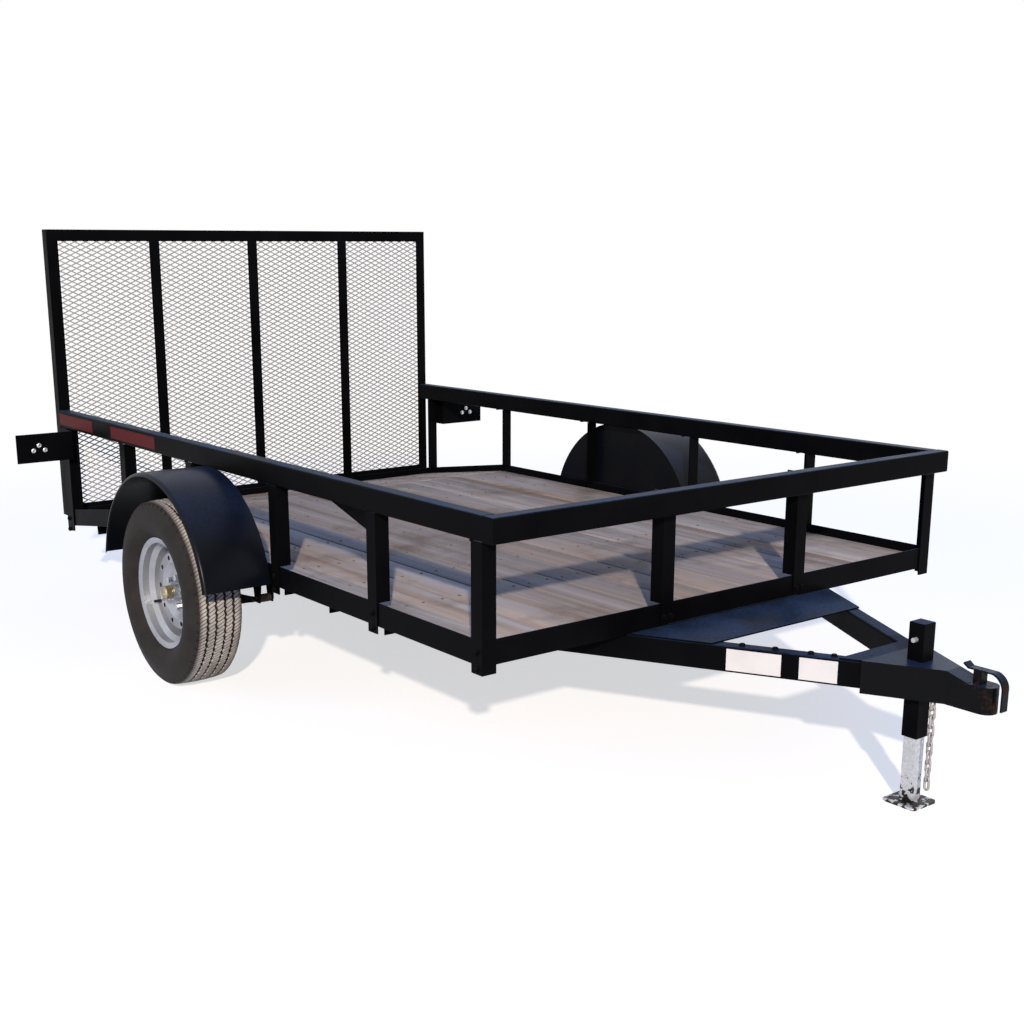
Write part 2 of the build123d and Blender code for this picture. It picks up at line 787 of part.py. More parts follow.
# ================================================================ gate hinges
hinge_x = gate_face - hinge_inset
hinge_z = gate_bottom - hinge_drop
HINGE_ROWS = (-hinge_y, hinge_y)
with BuildPart() as gate_hinges:
    for y in HINGE_ROWS:
        with BuildSketch(Plane.XZ.offset(-y - hinge_barrel / 2)):
            with Locations((hinge_x, hinge_z)):
                Circle(hinge_radius)
            with Locations((hinge_x, hinge_z + hinge_drop / 2)):
                Rectangle(hinge_lug, hinge_drop)
            with Locations((hinge_x, hinge_z)):
                Circle(hinge_pin_radius + pin_fit, mode=Mode.SUBTRACT)
        extrude(amount=hinge_barrel)
save(gate_hinges.part, "gate_hinges")

with BuildPart() as hinge_lugs:
    lug_start = hinge_barrel / 2 + side_play
    pin_half = lug_start + hinge_lug + 4.0
    for y in HINGE_ROWS:
        for across in (-1, 1):
            y_lug = y + across * (lug_start + hinge_lug / 2)
            with BuildSketch(Plane.XZ.offset(-y_lug - hinge_lug / 2)):
                with Locations((hinge_x, hinge_z)):
                    Circle(hinge_radius)
                with Locations(((hinge_x + x_rear) / 2, hinge_z)):
                    Rectangle(x_rear - hinge_x, 2 * hinge_radius)
            extrude(amount=hinge_lug)
        with BuildSketch(Plane.XZ.offset(-y - pin_half)):
            with Locations((hinge_x, hinge_z)):
                Circle(hinge_pin_radius)
        extrude(amount=2 * pin_half)
save(hinge_lugs.part, "hinge_lugs")

# ================================================================ tongue beams
x_tip = x_front + tongue_reach
beam_start = x_rear + CROSS_PLACES[-1] + cross_wall
beam_angle = degrees(atan2(tongue_slope, 1))
beam_high = frame_bottom


def beam_edge(x):
    """Distance of a beam's outer face from the centre line at x."""
    return tongue_tip_half + tongue_slope * (x_tip - x)


beam_length = (x_tip - beam_start) / cos(radians(beam_angle))
end_cut = 4 * tongue_depth
with BuildPart() as tongue_beams:
    for s in (-1, 1):
        run = Vector(cos(radians(beam_angle)), -s * sin(radians(beam_angle)), 0)
        side = Vector(-sin(radians(beam_angle)), -s * cos(radians(beam_angle)), 0)
        rear_edge = Vector(beam_start, s * beam_edge(beam_start), beam_high - tongue_height / 2)
        centre = rear_edge + side * (tongue_depth / 2) - run * tongue_depth
        with BuildSketch(Plane(origin=centre, x_dir=side, z_dir=run)):
            RectangleRounded(tongue_depth, tongue_height, tongue_corner)
            RectangleRounded(tongue_depth - 2 * tongue_wall, tongue_height - 2 * tongue_wall,
                             tongue_corner - tongue_wall, mode=Mode.SUBTRACT)
        extrude(amount=beam_length + 2 * tongue_depth)
        # square off the two ends
        with BuildSketch(Plane.XY.offset(beam_high - tongue_height - 1)):
            with Locations((beam_start - end_cut / 2, s * beam_edge(beam_start))):
                Rectangle(end_cut, 2 * end_cut)
            with Locations((x_tip + end_cut / 2, 0)):
                Rectangle(end_cut, 2 * (tongue_tip_half + end_cut))
        extrude(amount=tongue_height + 2, mode=Mode.SUBTRACT)
save(tongue_beams.part, "tongue_beams")

plate_front = x_front + tongue_plate_reach
with BuildPart() as tongue_plate:
    with BuildSketch(Plane.XY.offset(beam_high)):
        with BuildLine():
            Polyline(
                (x_front, beam_edge(x_front)),
                (plate_front, beam_edge(plate_front)),
                (plate_front, -beam_edge(plate_front)),
                (x_front, -beam_edge(x_front)),
                close=True,
            )
        make_face()
    extrude(amount=tongue_wall)
save(tongue_plate.part, "tongue_plate")

# ================================================================ coupler
x_ball = x_tip + ball_reach
x_stand = x_front + stand_reach
coupler_rear = x_tip - coupler_length
coupler_top = beam_high + coupler_wall
nose_top = coupler_top - coupler_fall
socket_radius = ball_radius + ball_play


def coupler_plan(grow, rear):
    """Corners of the coupler's plan from the left of its nose round to the right, grown outwards."""
    lead = grow / cos(radians(beam_angle))
    nose = nose_radius - coupler_wall + grow
    neck = x_tip + (tongue_tip_half + lead - nose) / tongue_slope
    edge = beam_edge(rear) + lead
    return [(x_ball, nose), (neck, nose), (rear, edge), (rear, -edge), (neck, -nose), (x_ball, -nose)]


with BuildPart() as coupler:
    # outside: two sides along the beams, a straight neck and a round nose
    corners = coupler_plan(coupler_wall, coupler_rear)
    neck_start = corners[1][0]
    with BuildSketch(Plane.XY.offset(coupler_bottom)):
        with BuildLine():
            Polyline(*corners)
            ThreePointArc(corners[-1], (x_ball + corners[0][1], 0), corners[0])
        make_face()
    extrude(amount=coupler_top - coupler_bottom)
    # hollow: full height over the beams, lower in the neck and nose
    corners = coupler_plan(0, coupler_rear - 1)
    with BuildSketch(Plane.XY.offset(coupler_bottom)):
        with BuildLine():
            Polyline(*corners)
            ThreePointArc(corners[-1], (x_ball + corners[0][1], 0), corners[0])
        make_face()
    extrude(amount=nose_top - coupler_wall - coupler_bottom, mode=Mode.SUBTRACT)
    with BuildSketch(Plane.XY.offset(coupler_bottom)):
        with BuildLine():
            Polyline(*corners[1:-1], close=True)
        make_face()
    extrude(amount=beam_high - coupler_bottom, mode=Mode.SUBTRACT)
    # ball socket
    with BuildSketch(Plane.XY.offset(coupler_bottom)):
        with Locations((x_ball, 0)):
            Circle(nose_radius - coupler_wall / 2)
    extrude(amount=nose_top - coupler_bottom)
    with Locations((x_ball, 0, ball_height)):
        Sphere(socket_radius, mode=Mode.SUBTRACT)
    with BuildSketch(Plane.XY.offset(coupler_bottom)):
        with Locations((x_ball, 0)):
            Circle(socket_radius)
    extrude(amount=ball_height - coupler_bottom, mode=Mode.SUBTRACT)
    # top falling towards the nose, and skirts cut up along the beams
    with BuildSketch(Plane.XZ.offset(-beam_edge(coupler_rear) - coupler_skirt)):
        with BuildLine():
            Polyline(
                (neck_start, coupler_top),
                (x_ball - nose_radius, nose_top),
                (x_ball + 2 * nose_radius, nose_top),
                (x_ball + 2 * nose_radius, coupler_top + 1),
                (neck_start, coupler_top + 1),
                close=True,
            )
            Polyline(
                (coupler_rear - 1, coupler_bottom - 1),
                (x_tip, coupler_bottom - 1),
                (x_tip - coupler_length / 3, beam_high - coupler_skirt),
                (coupler_rear - 1, beam_high - coupler_skirt),
                close=True,
            )
        make_face()
    extrude(amount=2 * (beam_edge(coupler_rear) + coupler_skirt), mode=Mode.SUBTRACT)
    # square hole that the stand's sleeve passes through
    with BuildSketch(Plane.XY.offset(beam_high)):
        with Locations((x_stand, 0)):
            Rectangle(stand_tube, stand_tube)
    extrude(amount=coupler_wall, mode=Mode.SUBTRACT)
save(coupler.part, "coupler")

# latch lever: a curled handle, a lug down to the neck, and a plate over the nose and down in front of it
with BuildPart() as coupler_latch:
    plate_in = x_ball + nose_radius + latch_gap
    plate_out = plate_in + latch_thick
    lever_low = nose_top + latch_rise
    lever_high = lever_low + latch_thick
    lug_front = x_ball - 8
    lug_rear = x_ball - nose_radius
    bend_low = nose_top - 8
    plate_foot = ball_height - 2
    with BuildSketch(Plane.XZ.offset(-latch_width / 2)):
        with BuildLine():
            Polyline((plate_in, plate_foot), (plate_in, bend_low))
            ThreePointArc((plate_in, bend_low), (plate_in - 9, lever_low - 15), (plate_in - 32, lever_low))
            Polyline(
                (plate_in - 32, lever_low),
                (lug_front, lever_low),
                (lug_front, nose_top),
                (lug_rear, nose_top),
                (lug_rear, lever_low),
                (lug_rear - 18, lever_low),
                (lug_rear - 34, lever_high + 6),
                (lug_rear - 30, lever_high + 11),
                (lug_rear - 16, lever_high),
                (plate_in - 30, lever_high),
            )
            ThreePointArc((plate_in - 30, lever_high), (plate_out - 9, lever_low - 11), (plate_out, bend_low))
            Polyline((plate_out, bend_low), (plate_out, plate_foot), (plate_in, plate_foot))
        make_face()
    extrude(amount=latch_width)
save(coupler_latch.part, "coupler_latch")

# ================================================================ stand
stand_inside = stand_tube - 2 * stand_wall
stand_leg_size = stand_inside - 2 * stand_fit
with BuildPart() as stand_sleeve:
    with BuildSketch(Plane.XY.offset(stand_tube_bottom)):
        with Locations((x_stand, 0)):
            Rectangle(stand_tube, stand_tube)
            Rectangle(stand_inside, stand_inside, mode=Mode.SUBTRACT)
    extrude(amount=stand_tube_top - stand_tube_bottom)
    with BuildSketch(Plane.XY.offset(stand_tube_top)):
        with Locations((x_stand, 0)):
            Rectangle(stand_tube, stand_tube)
    extrude(amount=-stand_wall)
    with BuildSketch(Plane.XZ.offset(-stand_tube)):
        with Locations((x_stand, stand_pin_height)):
            Circle(stand_pin_radius)
    extrude(amount=2 * stand_tube, mode=Mode.SUBTRACT)
save(stand_sleeve.part, "stand_sleeve")

with BuildPart() as stand_plate:
    plate_rear = x_stand - stand_plate_reach
    with BuildSketch(Plane.XY.offset(beam_high)):
        with BuildLine():
            Polyline(
                (plate_rear, beam_edge(plate_rear)),
                (coupler_rear, beam_edge(coupler_rear)),
                (coupler_rear, -beam_edge(coupler_rear)),
                (plate_rear, -beam_edge(plate_rear)),
                close=True,
            )
        make_face()
    extrude(amount=coupler_wall)
save(stand_plate.part, "stand_plate")

with BuildPart() as stand_pin:
    pin_reach = stand_tube / 2 + 14.0
    with BuildSketch(Plane.XZ.offset(-pin_reach)):
        with Locations((x_stand, stand_pin_height)):
            Circle(stand_pin_radius)
    extrude(amount=2 * pin_reach)
save(stand_pin.part, "stand_pin")

with BuildPart() as stand_leg:
    with BuildSketch(Plane.XY.offset(stand_foot_thick)):
        with Locations((x_stand, 0)):
            Rectangle(stand_leg_size, stand_leg_size)
            Rectangle(stand_leg_size - 8, stand_leg_size - 8, mode=Mode.SUBTRACT)
    extrude(amount=stand_leg_top - stand_foot_thick)
    with BuildSketch():
        with Locations((x_stand, 0)):
            RectangleRounded(stand_foot, stand_foot, 12)
    extrude(amount=stand_foot_thick)
save(stand_leg.part, "stand_leg")

# ================================================================ safety chain
chain_outer = chain_inside + 2 * chain_rod
chain_width = 3.1 * chain_rod
x_chain = x_stand + (stand_foot + chain_width) / 2 + moving_gap + 1
chain_pitch = chain_inside - chain_slack


def link_corners(half_long, half_wide, corner):
    """Eight corners of a straight-sided link, its four corners cut off."""
    quarter = [(half_long, half_wide - corner), (half_long - corner, half_wide)]
    top = quarter + [(-x, y) for x, y in reversed(quarter)]
    return top + [(-x, -y) for x, y in top]


with BuildPart() as safety_chain:
    for i in range(chain_links):
        z = beam_high - chain_hang - i * chain_pitch
        facing = (1, 0, 0) if i % 2 else (0, 1, 0)
        with BuildSketch(Plane(origin=(x_chain, y_chain, z), x_dir=(0, 0, 1), z_dir=facing)):
            Polygon(*link_corners(chain_outer / 2, chain_width / 2, chain_rod))
            Rectangle(chain_inside, chain_width - 2 * chain_rod, mode=Mode.SUBTRACT)
        extrude(amount=chain_rod / 2, both=True)
save(safety_chain.part, "safety_chain")

# ================================================================ rail gusset
gusset_post = x_rear + POSTS[4][0]
with BuildPart() as rail_gusset:
    with BuildSketch(Plane.XZ.offset(half_frame - gusset_in)):
        with BuildLine():
            Polyline(
                (gusset_post, rail_bottom),
                (gusset_post, rail_bottom - gusset_deep),
                (gusset_post - gusset_long, rail_bottom),
                close=True,
            )
        make_face()
    extrude(amount=post_wall)
save(rail_gusset.part, "rail_gusset")

# ================================================================ lights
x_bracket = x_rear + bracket_from_rear
lamp_y = half_width + lamp_out
lamp_z = (bracket_low + bracket_high) / 2
with BuildPart() as light_brackets:
    for s in (-1, 1):
        with BuildSketch(Plane.YZ.offset(x_bracket)):
            with Locations((s * (half_width + bracket_reach / 2), lamp_z)):
                Rectangle(bracket_reach, bracket_high - bracket_low)
        extrude(amount=-bracket_wall)
        with BuildSketch(Plane.XZ.offset(-s * half_width)):
            with Locations((x_bracket - bracket_lap / 2, lamp_z)):
                Rectangle(bracket_lap, bracket_high - bracket_low)
        extrude(amount=-s * bracket_wall)
save(light_brackets.part, "light_brackets")

with BuildPart() as lamp_bases:
    for s in (-1, 1):
        with BuildSketch(Plane.YZ.offset(x_bracket - bracket_wall)):
            with Locations((s * lamp_y, lamp_z)):
                RectangleRounded(lamp_size, lamp_size, lamp_corner)
        extrude(amount=-lamp_depth * 0.45)
save(lamp_bases.part, "lamp_bases")

with BuildPart() as lamp_lenses:
    for s in (-1, 1):
        with BuildSketch(Plane.YZ.offset(x_bracket - bracket_wall - lamp_depth * 0.45)):
            with Locations((s * lamp_y, lamp_z)):
                RectangleRounded(lamp_size, lamp_size, lamp_corner)
        extrude(amount=-lamp_depth * 0.55, taper=6)
save(lamp_lenses.part, "lamp_lenses")

# reflective tape on the rails' outer faces: start and end from the rear of the rail
TAPES = (
    (5.0, 402.0),
    (610.0, 1062.0),
)
with BuildPart() as reflector_tape:
    for s in (-1, 1):
        with BuildSketch(Plane.XZ.offset(-s * half_width)):
            for start, end in TAPES:
                with Locations((x_rear + (start + end) / 2, rail_top - rail_height / 2)):
                    Rectangle(end - start, tape_height)
        extrude(amount=-s * tape_thick)
save(reflector_tape.part, "reflector_tape")

# blank labels on the right beam's outer face: start and end ahead of the front posts
LABELS = (
    (265.0, 408.0),
    (454.0, 551.0),
)
with BuildPart() as beam_labels:
    for start, end in LABELS:
        x_mid = x_front + (start + end) / 2
        on_face = Vector(x_mid, -beam_edge(x_mid), beam_high - tongue_height / 2)
        run = Vector(cos(radians(beam_angle)), sin(radians(beam_angle)), 0)
        out = Vector(sin(radians(beam_angle)), -cos(radians(beam_angle)), 0)
        with BuildSketch(Plane(origin=on_face, x_dir=run, z_dir=out)):
            Rectangle((end - start) / cos(radians(beam_angle)), tongue_height - 2 * tongue_corner)
        extrude(amount=tape_thick)
save(beam_labels.part, "beam_labels")
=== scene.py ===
# %% [markdown]
# A utility trailer is mostly bare steel section: angle, box tube and sheet, painted black, with a
# board deck, two wheels and a gate of expanded mesh. The solids of the steel already have their
# true shapes, so they stay and get better finishes. What is too fine for a solid, such as mesh
# strands, tread grooves, board grain, bolts and chain links, is modelled here and fitted over or in
# place of them.

# %% Load the frame
import random
from math import atan2, cos, hypot, pi, radians, sin

import bpy
from mathutils import Matrix, Vector


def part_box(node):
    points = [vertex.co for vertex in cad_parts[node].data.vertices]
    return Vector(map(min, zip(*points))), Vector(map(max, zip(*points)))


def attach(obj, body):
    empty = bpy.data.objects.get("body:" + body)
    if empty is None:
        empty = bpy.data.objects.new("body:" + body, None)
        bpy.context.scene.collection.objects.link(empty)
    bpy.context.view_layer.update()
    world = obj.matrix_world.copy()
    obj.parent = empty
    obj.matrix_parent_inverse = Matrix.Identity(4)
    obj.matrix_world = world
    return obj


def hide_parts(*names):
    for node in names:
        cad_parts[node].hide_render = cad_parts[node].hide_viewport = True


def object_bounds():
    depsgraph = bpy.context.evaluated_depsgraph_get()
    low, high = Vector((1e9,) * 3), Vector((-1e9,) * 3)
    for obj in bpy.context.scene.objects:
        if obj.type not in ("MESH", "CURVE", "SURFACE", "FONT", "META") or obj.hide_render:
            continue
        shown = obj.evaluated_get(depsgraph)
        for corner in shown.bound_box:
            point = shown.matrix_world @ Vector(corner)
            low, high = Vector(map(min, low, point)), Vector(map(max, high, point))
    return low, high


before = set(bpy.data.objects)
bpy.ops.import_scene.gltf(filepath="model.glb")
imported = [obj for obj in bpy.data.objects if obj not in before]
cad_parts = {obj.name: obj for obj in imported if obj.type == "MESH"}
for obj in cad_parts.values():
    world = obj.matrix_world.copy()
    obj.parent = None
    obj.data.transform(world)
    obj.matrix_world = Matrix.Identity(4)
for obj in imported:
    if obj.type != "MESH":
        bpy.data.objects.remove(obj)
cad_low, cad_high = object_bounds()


def span(node):
    """The lowest and highest corner of a node's box."""
    low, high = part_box(node)
    return Vector(low), Vector(high)


def middle(node):
    """The middle of a node's box."""
    low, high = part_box(node)
    return Vector([(a + b) / 2 for a, b in zip(low, high)])


print("the solids' box:", [round(v, 3) for v in cad_low], [round(v, 3) for v in cad_high])

# %% [markdown]
# The camera stands in front of the right front corner at about eye height and looks a little down.
# A lens of 47 mm on the usual 36 mm wide sensor keeps the perspective mild, and a small shift of
# the frame leaves the trailer a little below its middle. The heading, tilt and roll are turned into
# three axes for the camera's matrix, which leaves no doubt about the order of the turns.

# %% Camera
HEADING = radians(143.312)
TILT = radians(-13.752)
ROLL = radians(-0.246)
LENS = 47.411
SENSOR = 36
SHIFT = (0.0348, 0.0686)
SIGHT = 200          # metres
EYE_AHEAD = 6.1258   # from the rear end of the rails
EYE_ASIDE = -3.2040  # from the middle plane
EYE_HEIGHT = 1.5627
rear_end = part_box("top_rails")[0][0]
forward = Vector((cos(TILT) * cos(HEADING), cos(TILT) * sin(HEADING), sin(TILT)))
right = forward.cross(Vector((0, 0, 1))).normalized()
up = right.cross(forward)
right, up = right * cos(ROLL) + up * sin(ROLL), up * cos(ROLL) - right * sin(ROLL)
camera_data = bpy.data.cameras.new("camera")
camera_data.lens = LENS
camera_data.sensor_width = SENSOR
camera_data.shift_x, camera_data.shift_y = SHIFT
camera_data.clip_end = SIGHT
camera = bpy.data.objects.new("camera", camera_data)
bpy.context.collection.objects.link(camera)
turn = Matrix((right, up, -forward)).transposed().to_4x4()
eye = Matrix.Translation((rear_end + EYE_AHEAD, EYE_ASIDE, EYE_HEIGHT))
camera.matrix_world = eye @ turn
bpy.context.scene.camera = camera
print("camera at", [round(v, 3) for v in camera.location])

# %% [markdown]
# Every finish is a node tree. One function turns the written colour, an sRGB hex value, into the
# linear numbers that a shader works with, and one adds a node with its settings and links, which
# keeps each recipe short to read. In the recipes a node that is handed on stands for its first
# output in use.


# %% Colour and node helpers
def linear(hex_colour):
    """An sRGB colour such as #8a7f70 as linear red, green, blue and alpha."""
    parts = [int(hex_colour[i:i + 2], 16) / 255 for i in (1, 3, 5)]
    return tuple(v / 12.92 if v <= 0.04045 else ((v + 0.055) / 1.055) ** 2.4
                 for v in parts) + (1.0,)


def give(socket, value):
    """Link a node or an output to a socket, or set the socket to a hex colour or a value."""
    if isinstance(value, bpy.types.Node):
        value = next(output for output in value.outputs if output.enabled)
    if isinstance(value, bpy.types.NodeSocket):
        socket.id_data.links.new(value, socket)
    else:
        socket.default_value = linear(value) if isinstance(value, str) else value


def give_all(node, **values):
    """Fill sockets by name, with _ for a space."""
    for name, value in values.items():
        give(node.inputs[name.replace("_", " ")], value)
    return node


def add(tree, kind, *in_order, stops=(), **settings):
    """A shader node with its settings and links. What comes in order fills the sockets in use
    from the top, a setting that isn't the node's own names a socket, and stops mark a ramp."""
    node = tree.nodes.new("ShaderNode" + kind)
    for key in [key for key in settings if hasattr(node, key)]:
        setattr(node, key, settings.pop(key))
    for socket, value in zip([socket for socket in node.inputs if socket.enabled], in_order):
        give(socket, value)
    for _ in stops[2:]:  # a new ramp has two marks
        node.color_ramp.elements.new(0.5)
    for number, (place, colour) in enumerate(stops):
        mark = node.color_ramp.elements[number]
        mark.position, mark.color = place, linear(colour)
    return give_all(node, **settings)


def fresh(name, **surface):
    """A new material: its tree, its surface shader and the Object coordinates for its patterns."""
    material = bpy.data.materials.new(name)
    material.use_nodes = True
    tree = material.node_tree
    shader = give_all(tree.nodes["Principled BSDF"], **surface)
    return material, tree, shader, add(tree, "TexCoord").outputs["Object"]


def grainy(tree, place, scale, strength, depth):
    """The normal of a fine grain, from noise with scale features in a metre and their depth."""
    grain = add(tree, "TexNoise", place, Scale=scale, Detail=2.0)
    return add(tree, "Bump", Height=grain, Strength=strength, Distance=depth)


print("helpers ready")

# %% [markdown]
# Powder-coated steel is polymer powder sprayed dry on the section and melted to a smooth skin. It
# shows a slight orange peel of a few millimetres, a soft gloss, and pale road dust lying on faces
# that look up. Where the tint of the tops is blue, it is a painted reflection of the sky, not dust.
# The dust and the tint could be painted on by hand, but the direction of the surface says where
# they lie, so one recipe serves every bar at any angle. The specular level is low, because a white
# studio would lift the black to grey.


# %% Powder-coated steel
def looks_up(tree):
    """0 on walls and undersides, rising to 1 on level tops."""
    normal = add(tree, "NewGeometry").outputs["Normal"]
    facing = add(tree, "SeparateXYZ", normal)
    return add(tree, "MapRange", facing.outputs["Z"], From_Min=0.5, From_Max=1.0)


def powder_coat(name, black="#050506", dust_and_sky_reflection="#40587f", most=0.5, rough=0.34, shine=0.02):
    """Black paint. Each level top is tinted over a third of most up to most, with dust, and with a
    painted sky reflection where the tint is blue.
    """
    material, tree, shader, place = fresh(name, IOR=1.5, Specular_IOR_Level=shine)
    # wear comes in clouds 200 mm across, and the dust and painted sky reflection of the tops in
    # specks 11 mm across
    clouds = add(tree, "TexNoise", place, Scale=5.0, Detail=6.0)
    specks = add(tree, "TexNoise", place, Scale=90.0, Detail=3.0)
    spread = add(tree, "MapRange", clouds, From_Min=0.30, From_Max=0.65,
                 To_Min=most / 3, To_Max=most)
    grain = add(tree, "MapRange", specks, From_Min=0.30, From_Max=0.60, To_Min=0.45)
    top_share = add(tree, "Math", looks_up(tree), spread, operation="MULTIPLY")
    dust_and_reflection_share = add(tree, "Math", top_share, grain, operation="MULTIPLY")
    paint = add(tree, "ValToRGB", clouds, stops=((0.3, black), (0.75, "#0b0c0e")))
    # the tint of the tops is painted sky reflection where it is blue, and road dust where it is
    # brown grey
    colour = add(tree, "Mix", dust_and_reflection_share, paint, dust_and_sky_reflection, data_type="RGBA")
    dull = add(tree, "MapRange", clouds, From_Min=0.3, From_Max=0.8,
               To_Min=rough, To_Max=rough + 0.18)
    # orange peel, with its dips 4 mm apart
    peel = grainy(tree, place, 260.0, 0.12, 0.0006)
    give_all(shader, Base_Color=colour, Roughness=dull, Normal=peel)
    return material


# the blue on the tops of the black frame is a painted sky reflection, broken up in specks
frame_black = powder_coat("powder_coated_steel")
# the fender's navy tops are a painted sky reflection, and its blue-black base holds a little of the
# same
sheet_black = powder_coat("powder_coated_sheet", "#070a12", "#22345a", rough=0.24, shine=0.10)
# on the chassis enamel the tops take real road dust, brown grey
axle_black = powder_coat("chassis_enamel", "#090909", "#4d453d", most=0.4, rough=0.5)
print("coated:", frame_black.name, sheet_black.name, axle_black.name)

# %% [markdown]
# Deck boards are flat-sawn pine that has stood outside: the sun bleaches it grey-brown, rain raises
# the grain, and each board ages in its own tone. The pattern is worked out in metres: growth lines
# 3 to 8 mm apart, drawn out twenty times along the board. One pattern would repeat from board to
# board, so a random number for each, taken from its place across the deck, shifts and stretches the
# pattern and sets the tone.


# %% Weathered pine
def weathered_pine(name, pitch):
    """Grey pine for boards that lie along X at a pitch across Y."""
    material, tree, shader, place = fresh(name, IOR=1.5, Roughness=0.8)
    xyz = add(tree, "SeparateXYZ", place)
    column = add(tree, "Math", xyz.outputs["Y"], pitch, operation="DIVIDE")
    board = add(tree, "Math", column, operation="FLOOR")
    tone = add(tree, "TexWhiteNoise", board, noise_dimensions="1D")
    # a board's own numbers stretch and shift its pattern
    own = tone.outputs["Color"]
    shift = add(tree, "VectorMath", place, own, own, operation="MULTIPLY_ADD")
    along = add(tree, "Mapping", shift, Scale=(1.1, 22.0, 22.0))
    warp = add(tree, "TexNoise", along, Scale=1.3, Detail=4.0, Distortion=0.6)
    lines = add(tree, "TexNoise", along, Scale=3.4, Detail=7.0, Roughness=0.62, Distortion=0.5)
    # fibres 4 mm apart, which is coarser than real ones so that they show
    drawn = add(tree, "Mapping", shift, Scale=(6.0, 260.0, 260.0))
    fibre = add(tree, "TexNoise", drawn, Scale=1.0, Detail=5.0)
    stains = add(tree, "TexNoise", place, Scale=2.2, Detail=5.0, Roughness=0.65)
    sap = add(tree, "TexNoise", along, Scale=0.45, Detail=3.0)
    colour, grain, by_board, dark, warm = [
        add(tree, "ValToRGB", source, stops=stops) for source, stops in (
            (warp, ((0.25, "#9c9793"), (0.5, "#b9b5b2"), (0.75, "#d2cecb"))),
            (lines, ((0.30, "#8d8580"), (0.48, "#d8d2ce"), (0.68, "#f8f5f2"))),
            (tone, ((0.0, "#c2bab6"), (0.35, "#e4deda"), (0.7, "#faf6f3"), (1.0, "#d6cbc3"))),
            (stains, ((0.30, "#a3978e"), (0.50, "#ffffff"))),
            (sap, ((0.56, "#ffffff"), (0.72, "#f2dac0"))))]
    for share, layer in ((fibre, grain), (0.9, by_board), (1.0, dark), (1.0, warm)):
        colour = add(tree, "Mix", share, colour, layer, data_type="RGBA", blend_type="MULTIPLY")
    raised = add(tree, "Math", lines, fibre, operation="ADD")
    relief = add(tree, "Bump", Height=raised, Strength=0.5, Distance=0.0015)
    give_all(shader, Base_Color=colour, Normal=relief)
    return material


BOARDS = 14
BOARD_GAP = 0.009
deck_low, deck_high = span("deck_planks")
board_pitch = (deck_high.y - deck_low.y + BOARD_GAP) / BOARDS
pine = weathered_pine("weathered_pine", board_pitch)
print("board pitch", round(board_pitch, 4))

# %% [markdown]
# Tyre rubber holds carbon black, so it is nearly black when new and turns a brown grey as dust
# works into it. The road scrubs the top of the ribs pale. They are found by their distance from the
# axle, so the grooves stay dark. Sipes are thin cuts across the ribs. They could be modelled, but
# there are over a hundred in each rib, so the angle round the axle draws them as dark stripes.
# These hold the unscrubbed rubber and also a painted shade of the cuts.


# %% Tyre rubber
ROAD = (0.066, 0.083)        # from the middle plane, where the scrubbed band fades and ends
SCRUBBED = (0.0045, 0.0065)  # below the tread, where the pale of the ribs fades and ends
SIPES = 450 / (2 * pi)       # in a metre of road, which is one every 14 mm
SIPE_SLANT = 38.0            # of them that a sipe crosses in a metre across the tread


def about_axle(tree, place, axle):
    """Each point's place from a wheel's middle, and its distance from the axle."""
    centred = add(tree, "VectorMath", place, axle, operation="SUBTRACT")
    flat = add(tree, "VectorMath", centred, (1, 0, 1), operation="MULTIPLY")
    return centred, add(tree, "VectorMath", flat, operation="LENGTH")


def tyre_rubber(name, axle, outer):
    """Rubber for a tyre of radius outer. It fits both wheels, as only the size of Y counts."""
    material, tree, shader, place = fresh(name, IOR=1.52, Specular_IOR_Level=0.15)
    centred, reach = about_axle(tree, place, axle)
    worn = add(tree, "MapRange", reach, From_Min=outer - SCRUBBED[1],
               From_Max=outer - SCRUBBED[0])
    xyz = add(tree, "SeparateXYZ", place)
    out = add(tree, "Math", xyz.outputs["Y"], operation="ABSOLUTE")
    across = add(tree, "Math", out, abs(axle.y), operation="SUBTRACT")
    either_way = add(tree, "Math", across, operation="ABSOLUTE")
    on_road = add(tree, "MapRange", either_way, From_Min=ROAD[1], From_Max=ROAD[0])
    spoke = add(tree, "SeparateXYZ", centred)
    angle = add(tree, "Math", spoke.outputs["Z"], spoke.outputs["X"], operation="ARCTAN2")
    slant = add(tree, "Math", across, SIPE_SLANT, operation="MULTIPLY")
    turned = add(tree, "Math", angle, outer * SIPES, slant, operation="MULTIPLY_ADD")
    sipe = add(tree, "Math", turned, operation="FRACT")
    # a sipe is a dark stripe of unscrubbed rubber, which also paints in the shade inside the cut
    uncut = add(tree, "MapRange", sipe, From_Min=0.22, From_Max=0.32, To_Min=0.2)
    road = add(tree, "Math", worn, on_road, operation="MULTIPLY")
    light = add(tree, "Math", road, uncut, operation="MULTIPLY")
    clouds = add(tree, "TexNoise", place, Scale=14.0, Detail=6.0)
    wall = add(tree, "ValToRGB", clouds, stops=((0.3, "#1f1d1c"), (0.7, "#2f2c2a")))
    tread = add(tree, "ValToRGB", clouds, stops=((0.3, "#96928c"), (0.7, "#bfbab3")))
    colour = add(tree, "Mix", light, wall, tread, data_type="RGBA")
    dull = add(tree, "MapRange", clouds, To_Min=0.62, To_Max=0.85)
    pores = grainy(tree, place, 700.0, 0.25, 0.0004)
    give_all(shader, Base_Color=colour, Roughness=dull, Normal=pores)
    return material


tyre_middle = middle("tyre_right")
tyre_low, tyre_high = span("tyre_right")
tyre_outer = (tyre_high.z - tyre_low.z) / 2
rubber = tyre_rubber("tyre_rubber", tyre_middle, tyre_outer)
print("tyre radius", round(tyre_outer, 4))

# %% [markdown]
# Zinc grows on hot-dipped steel in a spangle of crystals a few millimetres across, and white oxide
# dulls it in clouds. Cells of one size, darkened by slow noise, give both. Plating and chrome are
# the same recipe with their own tones and more gloss. The drop leg stands near the ground, where
# mud splashes up. It lies where noise stays under a limit that falls with height, so it thins out
# upwards in patches, as real splashes do.


